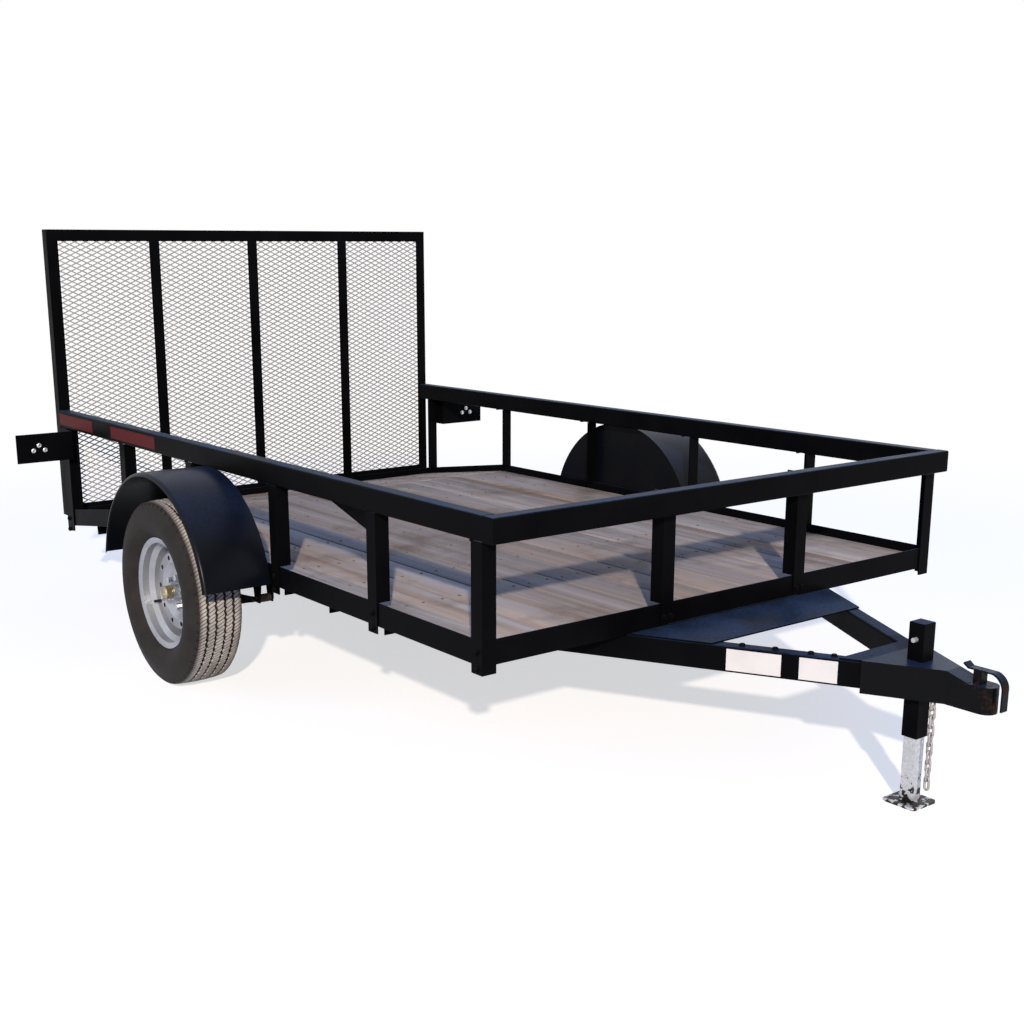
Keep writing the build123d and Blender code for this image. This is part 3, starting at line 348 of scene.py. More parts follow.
# %% Galvanised, plated and chromed steel
def plated(name, light, dark, spangle, metal=0.85, rough=0.42, soil=0.0):
    """Metal with spangle crystals in a metre, and mud up to soil metres above the ground."""
    material, tree, shader, place = fresh(name, Metallic=metal)
    crystals = add(tree, "TexVoronoi", place, Scale=spangle).outputs["Color"]
    oxide = add(tree, "TexNoise", place, Scale=spangle / 8, Detail=5.0)
    both = add(tree, "Math", crystals, oxide, operation="MULTIPLY")
    colour = add(tree, "ValToRGB", both, stops=((0.05, dark), (0.5, light)))
    if soil:
        height = add(tree, "SeparateXYZ", place).outputs["Z"]
        splash = add(tree, "MapRange", height, From_Min=soil, From_Max=0.0,
                     To_Min=0.25, To_Max=0.55)
        patches = add(tree, "TexNoise", place, Scale=55.0, Detail=5.0)
        muddy = add(tree, "Math", patches, splash, operation="LESS_THAN")
        colour = add(tree, "Mix", muddy, colour, "#24211d", data_type="RGBA")
    dull = add(tree, "MapRange", oxide, To_Min=rough - 0.1, To_Max=rough + 0.2)
    give_all(shader, Base_Color=colour, Roughness=dull)
    return material


galvanised = plated("galvanised_steel", "#b5b3b1", "#8d8b89", 300.0, metal=0.3, rough=0.5)
screw_steel = plated("weathered_screw_steel", "#7f756e", "#5b5049", 300.0, metal=0.3, rough=0.6)
zinc = plated("zinc_plated_steel", "#d3d5d7", "#b4b7ba", 220.0, metal=0.6)
stand_zinc = plated("zinc_plated_stand", "#d3d5d7", "#b4b7ba", 220.0, metal=0.6, soil=0.14)
chrome = plated("chromed_steel", "#dcdee0", "#a7abb0", 60.0, metal=1.0, rough=0.22)
yellow_zinc = plated("yellow_zinc_plate", "#bcb294", "#786f55", 180.0, rough=0.3)
print("plated:", galvanised.name, zinc.name, chrome.name, yellow_zinc.name)

# %% [markdown]
# Moulded plastic, tape, vinyl and spring paint have one colour right through, so a slow change of
# tone, a small change of gloss and a fine grain are enough. A lens is acrylic dyed red, and a thin
# clear coat gives it its polish without lighting up the red underneath.


# %% Plastics, tape and spring paint
def moulded(name, base, deep, rough, scale=30.0, coat=0.0, level=0.5):
    """A smooth stuff whose tone changes scale times in a metre, at a specular level."""
    material, tree, shader, place = fresh(name, IOR=1.49, Coat_Weight=coat, Coat_Roughness=0.08,
                                          Specular_IOR_Level=level)
    clouds = add(tree, "TexNoise", place, Scale=scale, Detail=5.0)
    colour = add(tree, "ValToRGB", clouds, stops=((0.3, deep), (0.6, base)))
    dull = add(tree, "MapRange", clouds, To_Min=rough, To_Max=rough + 0.2)
    give_all(shader, Base_Color=colour, Roughness=dull,
             Normal=grainy(tree, place, 600.0, 0.1, 0.0003))
    return material


lens_red = moulded("red_acrylic", "#c4121a", "#a00c13", 0.12, coat=0.3, level=0.25)
# the tape's red is made darker than its own, which is painted shade
shaded_tape_red = moulded("retroreflective_tape", "#5c1416", "#3a0c0e", 0.45, scale=120.0, level=0.1)
label_white = moulded("vinyl_label", "#dbdad8", "#d2d1ce", 0.5, scale=12.0, level=0.2)
base_black = moulded("black_abs", "#141415", "#0c0c0d", 0.4, level=0.2)
spring_black = moulded("painted_spring_steel", "#131211", "#33291f", 0.55, scale=40.0, level=0.15)
print("moulded:", lens_red.name, shaded_tape_red.name, label_white.name, base_black.name)

# %% [markdown]
# A pressed wheel is sprayed with enamel that holds aluminium flake, on the side that shows. Inboard
# of the disc and on the walls of the vents it is painted a near-black brown, which is painted shade
# together with some brake and road dust. Both places are found by measure, from the wheel's middle
# plane and from the ring on which the vents lie, so one material serves the whole pressing.


# %% Silver wheel enamel
VENT_REACH = 0.125            # from the axle to the middle of a vent
VENT_HALF = (0.0095, 0.0105)  # half a vent, and where its painted shade ends
INBOARD_SHADE = (0.012, 0.020)      # from the middle plane, where the painted shade and dust start and where they are full


def wheel_enamel(name, centre):
    """Silver outside, and near-black brown inboard of the disc and in the vents: painted shade,
    with some dust.
    """
    material, tree, shader, place = fresh(name, Metallic=0.55, Coat_Weight=0.2,
                                          Coat_Roughness=0.15)
    xyz = add(tree, "SeparateXYZ", place)
    out = add(tree, "Math", xyz.outputs["Y"], operation="ABSOLUTE")
    shaded_barrel = add(tree, "MapRange", out, From_Min=abs(centre.y) - INBOARD_SHADE[0],
                  From_Max=abs(centre.y) - INBOARD_SHADE[1])
    flake = add(tree, "TexNoise", place, Scale=400.0, Detail=2.0)
    film = add(tree, "TexNoise", place, Scale=9.0, Detail=5.0)
    mixed = add(tree, "Math", flake, film, operation="MULTIPLY")
    silver = add(tree, "ValToRGB", mixed, stops=((0.10, "#85888d"), (0.40, "#b3b6bb")))
    reach = about_axle(tree, place, centre)[1]
    off_ring = add(tree, "Math", reach, VENT_REACH, operation="SUBTRACT")
    apart = add(tree, "Math", off_ring, operation="ABSOLUTE")
    in_ring = add(tree, "MapRange", apart, From_Min=VENT_HALF[1], From_Max=VENT_HALF[0])
    # the walls of a vent look sideways, and the disc round it looks out
    normal = add(tree, "NewGeometry").outputs["Normal"]
    facing = add(tree, "SeparateXYZ", normal)
    outwards = add(tree, "Math", facing.outputs["Y"], operation="ABSOLUTE")
    sideways = add(tree, "MapRange", outwards, From_Min=0.6, From_Max=0.4)
    shaded_vents = add(tree, "Math", in_ring, sideways, operation="MULTIPLY")
    shade_and_dust = add(tree, "Math", shaded_barrel, shaded_vents, operation="MAXIMUM")
    # the near-black brown is painted shade in the barrel and the vents, with some brake dust
    colour = add(tree, "Mix", shade_and_dust, silver, "#1b1815", data_type="RGBA")
    dull = add(tree, "MapRange", film, To_Min=0.28, To_Max=0.5)
    give_all(shader, Base_Color=colour, Roughness=dull)
    return material


wheel_silver = wheel_enamel("silver_wheel_enamel", middle("wheel_right"))
print("wheel enamel round", [round(v, 3) for v in middle("wheel_right")])

# %% [markdown]
# The coupler is steel in black enamel, with a painted reflection of the sky on faces that look up.
# The hitch rubs the enamel off its nose, and the bare steel rusts in patches. Distance from the
# nose says where that can be, and noise says where it is, which leaves torn edges like those of
# flaked paint.


# %% Coupler enamel
RUST = (0.13, 0.04)  # behind the nose, where rust starts and where it is full


def coupler_enamel(name, nose):
    """Black enamel with a painted sky reflection on faces that look up, worn to rust towards the
    nose.
    """
    material, tree, shader, place = fresh(name, Specular_IOR_Level=0.08, IOR=1.5)
    xyz = add(tree, "SeparateXYZ", place)
    near = add(tree, "MapRange", xyz.outputs["X"], From_Min=nose - RUST[0],
               From_Max=nose - RUST[1])
    patches = add(tree, "TexNoise", place, Scale=38.0, Detail=6.0, Roughness=0.7)
    worn = add(tree, "MapRange", patches, From_Min=0.52, From_Max=0.60)
    rusty = add(tree, "Math", near, worn, operation="MULTIPLY")
    # faces that look up turn navy: a painted reflection of the sky
    film = add(tree, "ValToRGB", looks_up(tree), stops=((0.0, "#08090b"), (1.0, "#1a2740")))
    rust = add(tree, "ValToRGB", patches, stops=((0.54, "#17100c"), (0.70, "#3f281c")))
    colour = add(tree, "Mix", rusty, film, rust, data_type="RGBA")
    dull = add(tree, "MapRange", rusty, To_Min=0.36, To_Max=0.85)
    pits = add(tree, "Bump", Height=patches, Strength=0.3, Distance=0.0008)
    give_all(shader, Base_Color=colour, Roughness=dull, Normal=pits)
    return material


coupler_black = coupler_enamel("coupler_enamel", cad_high[0])
print("finishes:", len(bpy.data.materials))

# %% [markdown]
# Each solid of the frame keeps its shape and takes its finish by assigning a material to its slots.
# Welding its loose triangles and bevelling the hard edges by a millimetre or so gives every section
# the small bright line that a rolled or folded edge shows. Both are modifiers, so the solid itself
# isn't touched.

# %% Dress the frame
SAME_POINT = 0.00002  # metres apart, and still the same vertex
HARD = radians(40)    # edges sharper than this are eased
DRESSED = {
    frame_black: ("side_frames", "front_member", "rear_member", "side_posts", "front_posts",
                  "top_rails", "front_rail", "rail_gusset", "light_brackets", "tongue_beams",
                  "tongue_plate", "stand_plate", "stand_sleeve", "gate_stiles", "gate_bars",
                  "gate_uprights", "gate_hinges", "hinge_lugs"),
    sheet_black: ("fenders",),
    axle_black: ("cross_members", "axle_beam", "spring_hangers"),
    spring_black: ("leaf_springs",),
    zinc: ("axle_clamps", "stand_pin", "safety_chain"),
    stand_zinc: ("stand_leg",),
    pine: ("deck_planks", "tail_planks"),
    galvanised: ("gate_mesh",),
    rubber: ("tyre_right", "tyre_left"),
    wheel_silver: ("wheel_right", "wheel_left"),
    yellow_zinc: ("grease_cap_right", "grease_cap_left"),
    coupler_black: ("coupler", "coupler_latch"),
    chrome: ("hub_right", "hub_left"),
    lens_red: ("lamp_lenses",),
    base_black: ("lamp_bases",),
    shaded_tape_red: ("reflector_tape",),
    label_white: ("beam_labels",),
}
EASED = {
    0.0015: ("side_frames", "front_member"),
    0.0012: ("side_posts", "front_posts", "gate_stiles", "gate_bars", "gate_uprights"),
    0.0010: ("light_brackets", "tongue_plate", "stand_plate", "rail_gusset"),
    0.0020: ("stand_sleeve",),
}
for finish, names in DRESSED.items():
    for name in names:
        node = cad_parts[name]
        node.data.materials.clear()
        node.data.materials.append(finish)
for width, names in EASED.items():
    for name in names:
        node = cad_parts[name]
        weld = node.modifiers.new("weld", "WELD")
        weld.merge_threshold = SAME_POINT
        edge = node.modifiers.new("edge", "BEVEL")
        edge.width = width
        edge.segments = 2
        edge.limit_method = "ANGLE"
        edge.angle_limit = HARD
left_over = set(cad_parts) - {name for names in DRESSED.values() for name in names}
print("undressed:", left_over or "none")

# %% [markdown]
# The fine pieces are modelled one by one, as by hand. Each starts from a primitive that is shaped
# in edit mode, and a few short functions keep the steps readable: start a shape, pick its vertices
# or faces by place, join shapes, and hand one over with its finish, its body and the solids that it
# stands in for.


# %% Modelling helpers
def start(kind, name, **settings):
    """A primitive in edit mode with everything selected."""
    if bpy.context.object and bpy.context.object.mode == "EDIT":
        bpy.ops.object.mode_set(mode="OBJECT")
    bpy.ops.object.select_all(action="DESELECT")
    getattr(bpy.ops.mesh, "primitive_" + kind + "_add")(**settings)
    shape = bpy.context.object
    shape.name = name
    bpy.ops.object.transform_apply(location=True, rotation=True, scale=True)
    bpy.ops.object.mode_set(mode="EDIT")
    bpy.ops.mesh.select_all(action="SELECT")
    return shape


def pick(shape, test, kind="faces"):
    """Select the vertices, or the faces by their middle and normal, that pass a test."""
    bpy.context.tool_settings.mesh_select_mode = (kind == "vertices", False, kind == "faces")
    bpy.ops.mesh.select_all(action="DESELECT")
    bpy.ops.object.mode_set(mode="OBJECT")
    if kind == "faces":
        chosen = [face for face in shape.data.polygons if test(face.center, face.normal)]
    else:
        chosen = [point for point in shape.data.vertices if test(point.co)]
    for item in chosen:
        item.select = True
    bpy.ops.object.mode_set(mode="EDIT")
    return len(chosen)


def move(x, y, z):
    """Move what is selected."""
    bpy.ops.transform.translate(value=(x, y, z))


def join(shapes):
    """One piece from several."""
    bpy.ops.object.select_all(action="DESELECT")
    for shape in shapes:
        shape.select_set(True)
    bpy.context.view_layer.objects.active = shapes[0]
    if len(shapes) > 1:
        bpy.ops.object.join()
    return shapes[0]


def clean_up(threshold=SAME_POINT):
    """Merge what lies in the same place, and turn every face outwards."""
    bpy.ops.mesh.select_all(action="SELECT")
    bpy.ops.mesh.remove_doubles(threshold=threshold)
    bpy.ops.mesh.normals_make_consistent(inside=False)


def hand_over(shape, finish, body, stands_for=(), smooth=35, merge=True):
    """Settle a piece at the origin and give it its finish, its body and its solids."""
    if bpy.context.object and bpy.context.object.mode == "EDIT":
        bpy.ops.object.mode_set(mode="OBJECT")
    join([shape])
    bpy.ops.object.transform_apply(location=True, rotation=True, scale=True)
    if merge:
        bpy.ops.object.mode_set(mode="EDIT")
        clean_up()
        bpy.ops.object.mode_set(mode="OBJECT")
    bpy.ops.object.shade_smooth_by_angle(angle=radians(smooth))
    shape.data.materials.clear()
    shape.data.materials.append(finish)
    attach(shape, body)
    if stands_for:
        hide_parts(*stands_for)
    print(shape.name, "triangles", sum(len(face.vertices) - 2 for face in shape.data.polygons))


print("modelling helpers ready")

# %% [markdown]
# Expanded mesh is one sheet, slit and pulled open, so its strands are flat ribbons that meet in
# diamonds 2 inches long and just under 1 inch high. One diamond ring is a circle of four corners,
# inset by half a strand with its middle taken out. Two rings half a pitch apart fill the plane when
# they repeat, and the edges of each bay cut them. Real geometry is used here because light falls
# through the openings onto the deck.

# %% Expanded mesh of the gate
MESH_LONG = 0.0508
MESH_SHORT = 0.0234
STRAND = 0.0050
SHEET = 0.0030
TRIM = 0.0005         # the mesh stops this short of an upright
SAME_CORNER = 0.00005


def repeat(shape, count, step):
    """Apply an array of copies set apart by a fixed step in metres."""
    rows = shape.modifiers.new("rows", "ARRAY")
    rows.count = count
    rows.use_relative_offset = False
    rows.use_constant_offset = True
    rows.constant_offset_displace = step
    bpy.ops.object.modifier_apply(modifier=rows.name)


def mesh_bay(low, high):
    """Mesh that fills the gate between two lines across it."""
    net = start("circle", "expanded_mesh", vertices=4, radius=0.5, fill_type="NGON",
                rotation=(0, pi / 2, 0))
    bpy.ops.transform.resize(value=(1, MESH_LONG, MESH_SHORT))
    bpy.ops.mesh.inset(thickness=STRAND / 2, use_even_offset=True)
    bpy.ops.mesh.delete(type="FACE")
    bpy.ops.mesh.select_all(action="SELECT")
    move(mesh_low.x + SHEET / 2, low, mesh_low.z)
    half_pitch = {"value": (0, MESH_LONG / 2, MESH_SHORT / 2)}
    bpy.ops.mesh.duplicate_move(TRANSFORM_OT_translate=half_pitch)
    bpy.ops.object.mode_set(mode="OBJECT")
    repeat(net, int((high - low) / MESH_LONG) + 2, (0, MESH_LONG, 0))
    repeat(net, int((mesh_high.z - mesh_low.z) / MESH_SHORT) + 2, (0, 0, MESH_SHORT))
    bpy.ops.object.mode_set(mode="EDIT")
    for place, facing in (((0, low, 0), (0, -1, 0)), ((0, high, 0), (0, 1, 0)),
                          ((0, 0, mesh_low.z), (0, 0, -1)), ((0, 0, mesh_high.z), (0, 0, 1))):
        bpy.ops.mesh.select_all(action="SELECT")
        bpy.ops.mesh.bisect(plane_co=place, plane_no=facing, clear_outer=True)
    clean_up(SAME_CORNER)
    bpy.ops.object.mode_set(mode="OBJECT")
    wall = net.modifiers.new("wall", "SOLIDIFY")
    wall.thickness = SHEET
    wall.offset = 0
    bpy.ops.object.modifier_apply(modifier=wall.name)
    return net


mesh_low, mesh_high = span("gate_mesh")
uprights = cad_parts["gate_uprights"].data.vertices
legs = sorted({round(point.co.y, 4) for point in uprights})
# an upright has three lines across the gate: one edge, and both faces of the leg between bays
bay_starts = [mesh_low.y] + [face + TRIM for face in legs[2::3]]
bay_ends = [face - TRIM for face in legs[1::3]] + [mesh_high.y]
bays = [mesh_bay(low, high) for low, high in zip(bay_starts, bay_ends)]
print("bays", len(bays))
hand_over(join(bays), galvanised, "ramp_gate", ("gate_mesh",), merge=False)

# %% [markdown]
# A trailer tyre shows its whole build in one section: bead, side wall with a wear ring, shoulder,
# and five ribs with four grooves between them. The section is one vertex drawn along a short table
# and mirrored, then spun round the axle, which is how a tyre's mould is turned. The ends at the rim
# are measured from the wheel, so the bead closes round it.

# %% Tyre: section and spin
COLUMNS = 180       # faces round the tyre
CLEAR = 0.0003      # the bead stays this far off the rim
half_tyre = (tyre_high.y - tyre_low.y) / 2
bead, bead_across = min((hypot(v.co.x - tyre_middle.x, v.co.z - tyre_middle.z),
                         abs(v.co.y - tyre_middle.y))
                        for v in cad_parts["tyre_right"].data.vertices)
rim_low, rim_high = span("wheel_right")
rim_edge = (rim_high.z - rim_low.z) / 2
rim_across = (rim_high.y - rim_low.y) / 2
# distance from the tyre's middle plane, and depth below the middle rib
TREAD = (
    (0.0115, 0.0000), (0.0130, 0.0085), (0.0215, 0.0085), (0.0230, 0.0003),
    (0.0440, 0.0012), (0.0455, 0.0090), (0.0540, 0.0095), (0.0555, 0.0018),
    (0.0790, 0.0044), (0.0850, 0.0105), (0.0880, 0.0175), (0.0895, 0.0260),
)
WALL = (
    (0.0935, 0.0340), (0.1000, 0.0480), (0.1045, 0.0620), (half_tyre, 0.0740),
    (0.1050, 0.0870), (0.1015, 0.1000), (0.0995, 0.1015), (0.0985, 0.1050),
    (0.0950, 0.1110), (0.0860, 0.1230),
)
section = [(across, tyre_outer - depth) for across, depth in TREAD + WALL]
section += [(rim_across + 0.0040, rim_edge + 0.0045), (rim_across - 0.0030, rim_edge + 0.0010),
            (bead_across + 0.0090, bead + CLEAR)]
outline = [(-across, reach) for across, reach in section[::-1]] + section
outline.append(outline[0])
tread = start("plane", "tyre_tread_right", size=2)
pick(tread, lambda at: at.x > 0 or at.y > 0, "vertices")
bpy.ops.mesh.delete(type="VERT")
bpy.ops.mesh.select_all(action="SELECT")
at = Vector((-1, -1, 0))
goal = tyre_middle + Vector((0, outline[0][0], outline[0][1]))
move(*(goal - at))
for across, reach in outline[1:]:
    at = goal
    goal = tyre_middle + Vector((0, across, reach))
    bpy.ops.mesh.extrude_region_move(TRANSFORM_OT_translate={"value": goal - at})
bpy.ops.mesh.select_all(action="SELECT")
bpy.ops.mesh.remove_doubles(threshold=SAME_POINT)
bpy.ops.mesh.spin(steps=COLUMNS, angle=2 * pi, center=tyre_middle, axis=(0, 1, 0))
clean_up()
print("points in the section", len(outline) - 1)

# %% [markdown]
# Rib tyres have zigzag grooves, which grip where straight ones would slide. Every second column of
# groove vertices steps sideways, and the columns between step the other way. The shoulders get
# shallow notches: every third face there is inset and pushed in along its normal.

# %% Tyre: zigzag grooves and shoulder notches
ZIGZAG = 0.0045
GROOVES = (0.011, 0.057)      # from the middle plane
GROOVE_DEEP = 0.010
SHOULDER = (0.0795, 0.0895)   # from the middle plane
SHOULDER_DEEP = 0.024
NOTCH_EVERY = 3
NOTCH_RIM = 0.0016
NOTCH_DEEP = 0.0030
LOOKS_OUT = 0.05              # least square of a normal's part away from the axle


def from_axle(at):
    return hypot(at.x - tyre_middle.x, at.z - tyre_middle.z)


def column(at):
    """The number of the column of faces, counted round the axle."""
    turned = atan2(at.z - tyre_middle.z, at.x - tyre_middle.x) / (2 * pi)
    return round(turned * COLUMNS + 0.25)


def in_groove(at, odd):
    return (from_axle(at) > tyre_outer - GROOVE_DEEP and column(at) % 2 == odd
            and GROOVES[0] < abs(at.y - tyre_middle.y) < GROOVES[1])


def in_notch(at, way):
    return (SHOULDER[0] < abs(at.y - tyre_middle.y) < SHOULDER[1]
            and way.z ** 2 + way.x ** 2 > LOOKS_OUT
            and from_axle(at) > tyre_outer - SHOULDER_DEEP and column(at) % NOTCH_EVERY == 0)


for odd, sign in ((0, 1), (1, -1)):
    moved = pick(tread, lambda at: in_groove(at, odd), "vertices")
    move(0, sign * ZIGZAG / 2, 0)
    print("groove vertices moved", moved)
print("notches", pick(tread, in_notch))
bpy.ops.mesh.inset(thickness=NOTCH_RIM, use_even_offset=True)
bpy.ops.mesh.extrude_region_shrink_fatten(TRANSFORM_OT_shrink_fatten={"value": -NOTCH_DEEP})
bpy.ops.object.mode_set(mode="OBJECT")
tread_left = tread.copy()
tread_left.data = tread.data.copy()
tread_left.name = "tyre_tread_left"
tread_left.location = middle("tyre_left") - tyre_middle
bpy.context.collection.objects.link(tread_left)
hand_over(tread, rubber, "right_wheel", ("tyre_right",), smooth=28)
hand_over(tread_left, rubber, "left_wheel", ("tyre_left",), smooth=28)

# %% [markdown]
# Deck boards shrink and warp as they dry, so no two lie quite level or end quite in line. One board
# is a cube drawn out to size, cut across in three places, with its edges eased by a bevel. Each
# copy is raised, rolled and shifted by a millimetre or so from a seeded series, so it comes out the
# same each time. The tail boards are the same board with its rear end let down to the slope of the
# tail.

# %% Deck and tail boards
EASE = 0.0025
END_GAP = 0.006
PARTS = 4                 # of a board, between its cuts
ROLLED = 0.25             # degrees about its length, either way
SWUNG = 0.02              # degrees about the vertical
RAISED = (0.0003, 0.0012)
SLID = 0.002
rng = random.Random(7)
tail_low, tail_high = span("tail_planks")
thick = deck_high.z - deck_low.z
board_wide = board_pitch - BOARD_GAP
tail_drop = tail_high.z - tail_low.z - thick
tail_slope = atan2(tail_drop, tail_high.x - tail_low.x)


def set_out(shape, places):
    """Copies with their own mesh, one for each (place, turn), joined into one piece."""
    bpy.ops.object.mode_set(mode="OBJECT")
    made = []
    for place, turn in places:
        twin = shape.copy()
        twin.data = shape.data.copy()
        bpy.context.collection.objects.link(twin)
        twin.matrix_world = Matrix.Translation(place) @ turn
        made.append(twin)
    name = shape.name
    bpy.data.objects.remove(shape)
    whole = join(made)
    whole.name = name
    return whole


def wobble(degrees, axis):
    return Matrix.Rotation(radians(rng.uniform(-degrees, degrees)), 4, axis)


def boards(name, low, high, drop, slope):
    """A row of boards from low to high, each with its rear end let down by drop."""
    size = (high.x - low.x - END_GAP, board_wide, thick)
    board = start("cube", name, size=1)
    bpy.ops.transform.resize(value=size)
    for part in range(1, PARTS):
        bpy.ops.mesh.select_all(action="SELECT")
        bpy.ops.mesh.bisect(plane_co=(size[0] * (part / PARTS - 0.5), 0, 0), plane_no=(1, 0, 0))
    bpy.ops.mesh.select_all(action="SELECT")
    bpy.ops.mesh.bevel(offset=EASE, segments=2, affect="EDGES")
    places = []
    for row in range(BOARDS):
        y = low.y + board_wide / 2 + row * board_pitch
        turn = Matrix.Rotation(-slope, 4, "Y") @ wobble(ROLLED, "X") @ wobble(SWUNG, "Z")
        z = high.z - thick / 2 - drop / 2 + rng.uniform(*RAISED)
        x = (low.x + high.x) / 2 + rng.uniform(-SLID, SLID)
        places.append((Vector((x, y, z)), turn))
    return set_out(board, places)


deck_boards = boards("deck_boards", deck_low, deck_high, 0, 0)
hand_over(deck_boards, pine, "chassis", ("deck_planks",))
tail_boards = boards("tail_boards", tail_low, tail_high, tail_drop, tail_slope)
hand_over(tail_boards, pine, "chassis", ("tail_planks",))

# %% [markdown]
# The safety chain has welded links of round rod. One link is a ring whose upper half is drawn up to
# the length of a link. The links take their places from those of the solid chain, each turned a
# quarter turn from the last, and a seeded twist of a few degrees lets them hang as loosely as real
# ones.

# %% Safety chain
ROD = 0.0070
LOOSE = 7  # degrees of twist, either way


def solids_of(node):
    """The lowest and highest corner of each separate solid in a node, from rear to front."""
    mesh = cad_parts[node].data
    group_of = {}
    for face in mesh.polygons:
        keys = [tuple(round(c, 5) for c in mesh.vertices[i].co) for i in face.vertices]
        merged = set(keys)
        for key in keys:
            merged |= group_of.get(key, set())
        for key in merged:
            group_of[key] = merged
    groups = {id(group): group for group in group_of.values()}.values()
    boxes = [(Vector(map(min, zip(*group))), Vector(map(max, zip(*group)))) for group in groups]
    return sorted(boxes, key=lambda box: (round(box[0].x, 3), box[0].y))


link_boxes = sorted(solids_of("safety_chain"), key=lambda box: -box[0].z)
link_long = link_boxes[0][1].z - link_boxes[0][0].z
link_wide = link_boxes[0][1].x - link_boxes[0][0].x
link = start("torus", "safety_chain_links", major_radius=(link_wide - ROD) / 2,
             minor_radius=ROD / 2, major_segments=20, minor_segments=10, rotation=(pi / 2, 0, 0))
pick(link, lambda at: at.z > 0, "vertices")
move(0, 0, link_long - link_wide)
bpy.ops.mesh.select_all(action="SELECT")
move(0, 0, -(link_long - link_wide) / 2)
hung = []
for number, (low, high) in enumerate(link_boxes):
    quarter = number % 2 * pi / 2
    turn = Matrix.Rotation(quarter + radians(rng.uniform(-LOOSE, LOOSE)), 4, "Z")
    hung.append(((low + high) / 2, turn))
print("links hung", len(hung))
hand_over(set_out(link, hung), galvanised, "chassis", ("safety_chain",), smooth=60)

# %% [markdown]
# Bolts hold the posts to the frame and stand in pairs on the tongue beams, and three bright screws
# hold each lamp to its bracket. A bolt is a washer and a six-sided head. Both are short cylinders:
# the washer's rim is eased, and the head's top is inset and pushed in a little, which leaves the
# ring that a forged head has.

# %% Bolt heads and lamp screws
WASHER = (0.0105, 0.0018)      # radius and thickness
HEAD = (0.0085, 0.0055)        # radius and height
HEAD_MIDDLE = 0.0045           # above the face that the bolt holds
SIDE_BOLTS = (0.012, 0.062)    # up from a side post's foot
SIDE_BOLT_IN = 0.022           # from the post's rear edge
FRONT_BOLTS = [(across, rise) for across in (0.012, 0.039) for rise in (0.020, 0.055)]
LAMP_SCREWS = ((-0.026, -0.010), (0.0, 0.012), (0.026, -0.010))  # from a lamp's middle
BEAM_BOLTS = (0.25, 0.85)      # share of a label's length
BEAM_BOLT_IN = Vector((-0.012, 0.0225, 0))
OUT = {side: Matrix.Rotation(-side * pi / 2, 4, "X") for side in (-1, 1)}
AHEAD = Matrix.Rotation(pi / 2, 4, "Y")
UPRIGHT = Matrix.Identity(4)


def top_of(at, way):
    """True for the faces of a shape that look up."""
    return way.z > 0.9


def step(inset, rise):
    """Inset what is selected, or outset it by less than nothing, and move it up."""
    bpy.ops.mesh.inset(thickness=abs(inset), use_outset=inset < 0)
    move(0, 0, rise)


def bolt(name):
    """A washer and a forged hexagon head on the face of z = 0, looking along +Z."""
    washer = start("cylinder", name, vertices=20, radius=WASHER[0], depth=WASHER[1],
                   location=(0, 0, WASHER[1] / 2))
    pick(washer, top_of)
    step(0.0006, 0.0004)
    head = start("cylinder", name + "_head", vertices=6, radius=HEAD[0], depth=HEAD[1],
                 location=(0, 0, HEAD_MIDDLE))
    pick(head, top_of)
    step(0.0012, 0.0006)
    step(0.0012, -0.0007)
    bpy.ops.object.mode_set(mode="OBJECT")
    return join([washer, head])


bolt_places = []
for low, high in solids_of("side_posts"):
    side, face = (-1, low.y) if low.y < 0 else (1, high.y)
    for rise in SIDE_BOLTS:
        bolt_places.append((Vector((low.x + SIDE_BOLT_IN, face, low.z + rise)), OUT[side]))
for low, high in solids_of("front_posts"):
    for across, rise in FRONT_BOLTS:
        bolt_places.append((Vector((high.x, low.y + across, low.z + rise)), AHEAD))
bracket_front = span("light_brackets")[1].x
lamp_low, lamp_high = solids_of("lamp_bases")[0]
lamp_y = (lamp_low.y + lamp_high.y) / 2
lamp_z = (lamp_low.z + lamp_high.z) / 2
lamp_screws = [(Vector((bracket_front, side * (lamp_y + across), lamp_z + rise)), AHEAD)
               for across, rise in LAMP_SCREWS for side in (1, -1)]
hand_over(set_out(bolt("lamp_screws"), lamp_screws), chrome, "chassis")
beam_top = span("tongue_beams")[1].z
for low, high in solids_of("beam_labels"):
    for share in BEAM_BOLTS:
        at = low.lerp(Vector((high.x, high.y, low.z)), share) + BEAM_BOLT_IN
        bolt_places.append((Vector((at.x, at.y, beam_top)), UPRIGHT))
hand_over(set_out(bolt("frame_bolts"), bolt_places), axle_black, "chassis")
print("bolts", len(bolt_places), "lamp screws", len(lamp_screws))

# %% [markdown]
# Deck screws are self-drilling, with a wide flat head that pulls a little way into the soft board.
# Two go through each board at every cross member, whose box gives the row its place. The head is a
# short cylinder whose rim is eased and whose middle is pressed in for the driver. It has few faces,
# because there are over two hundred.

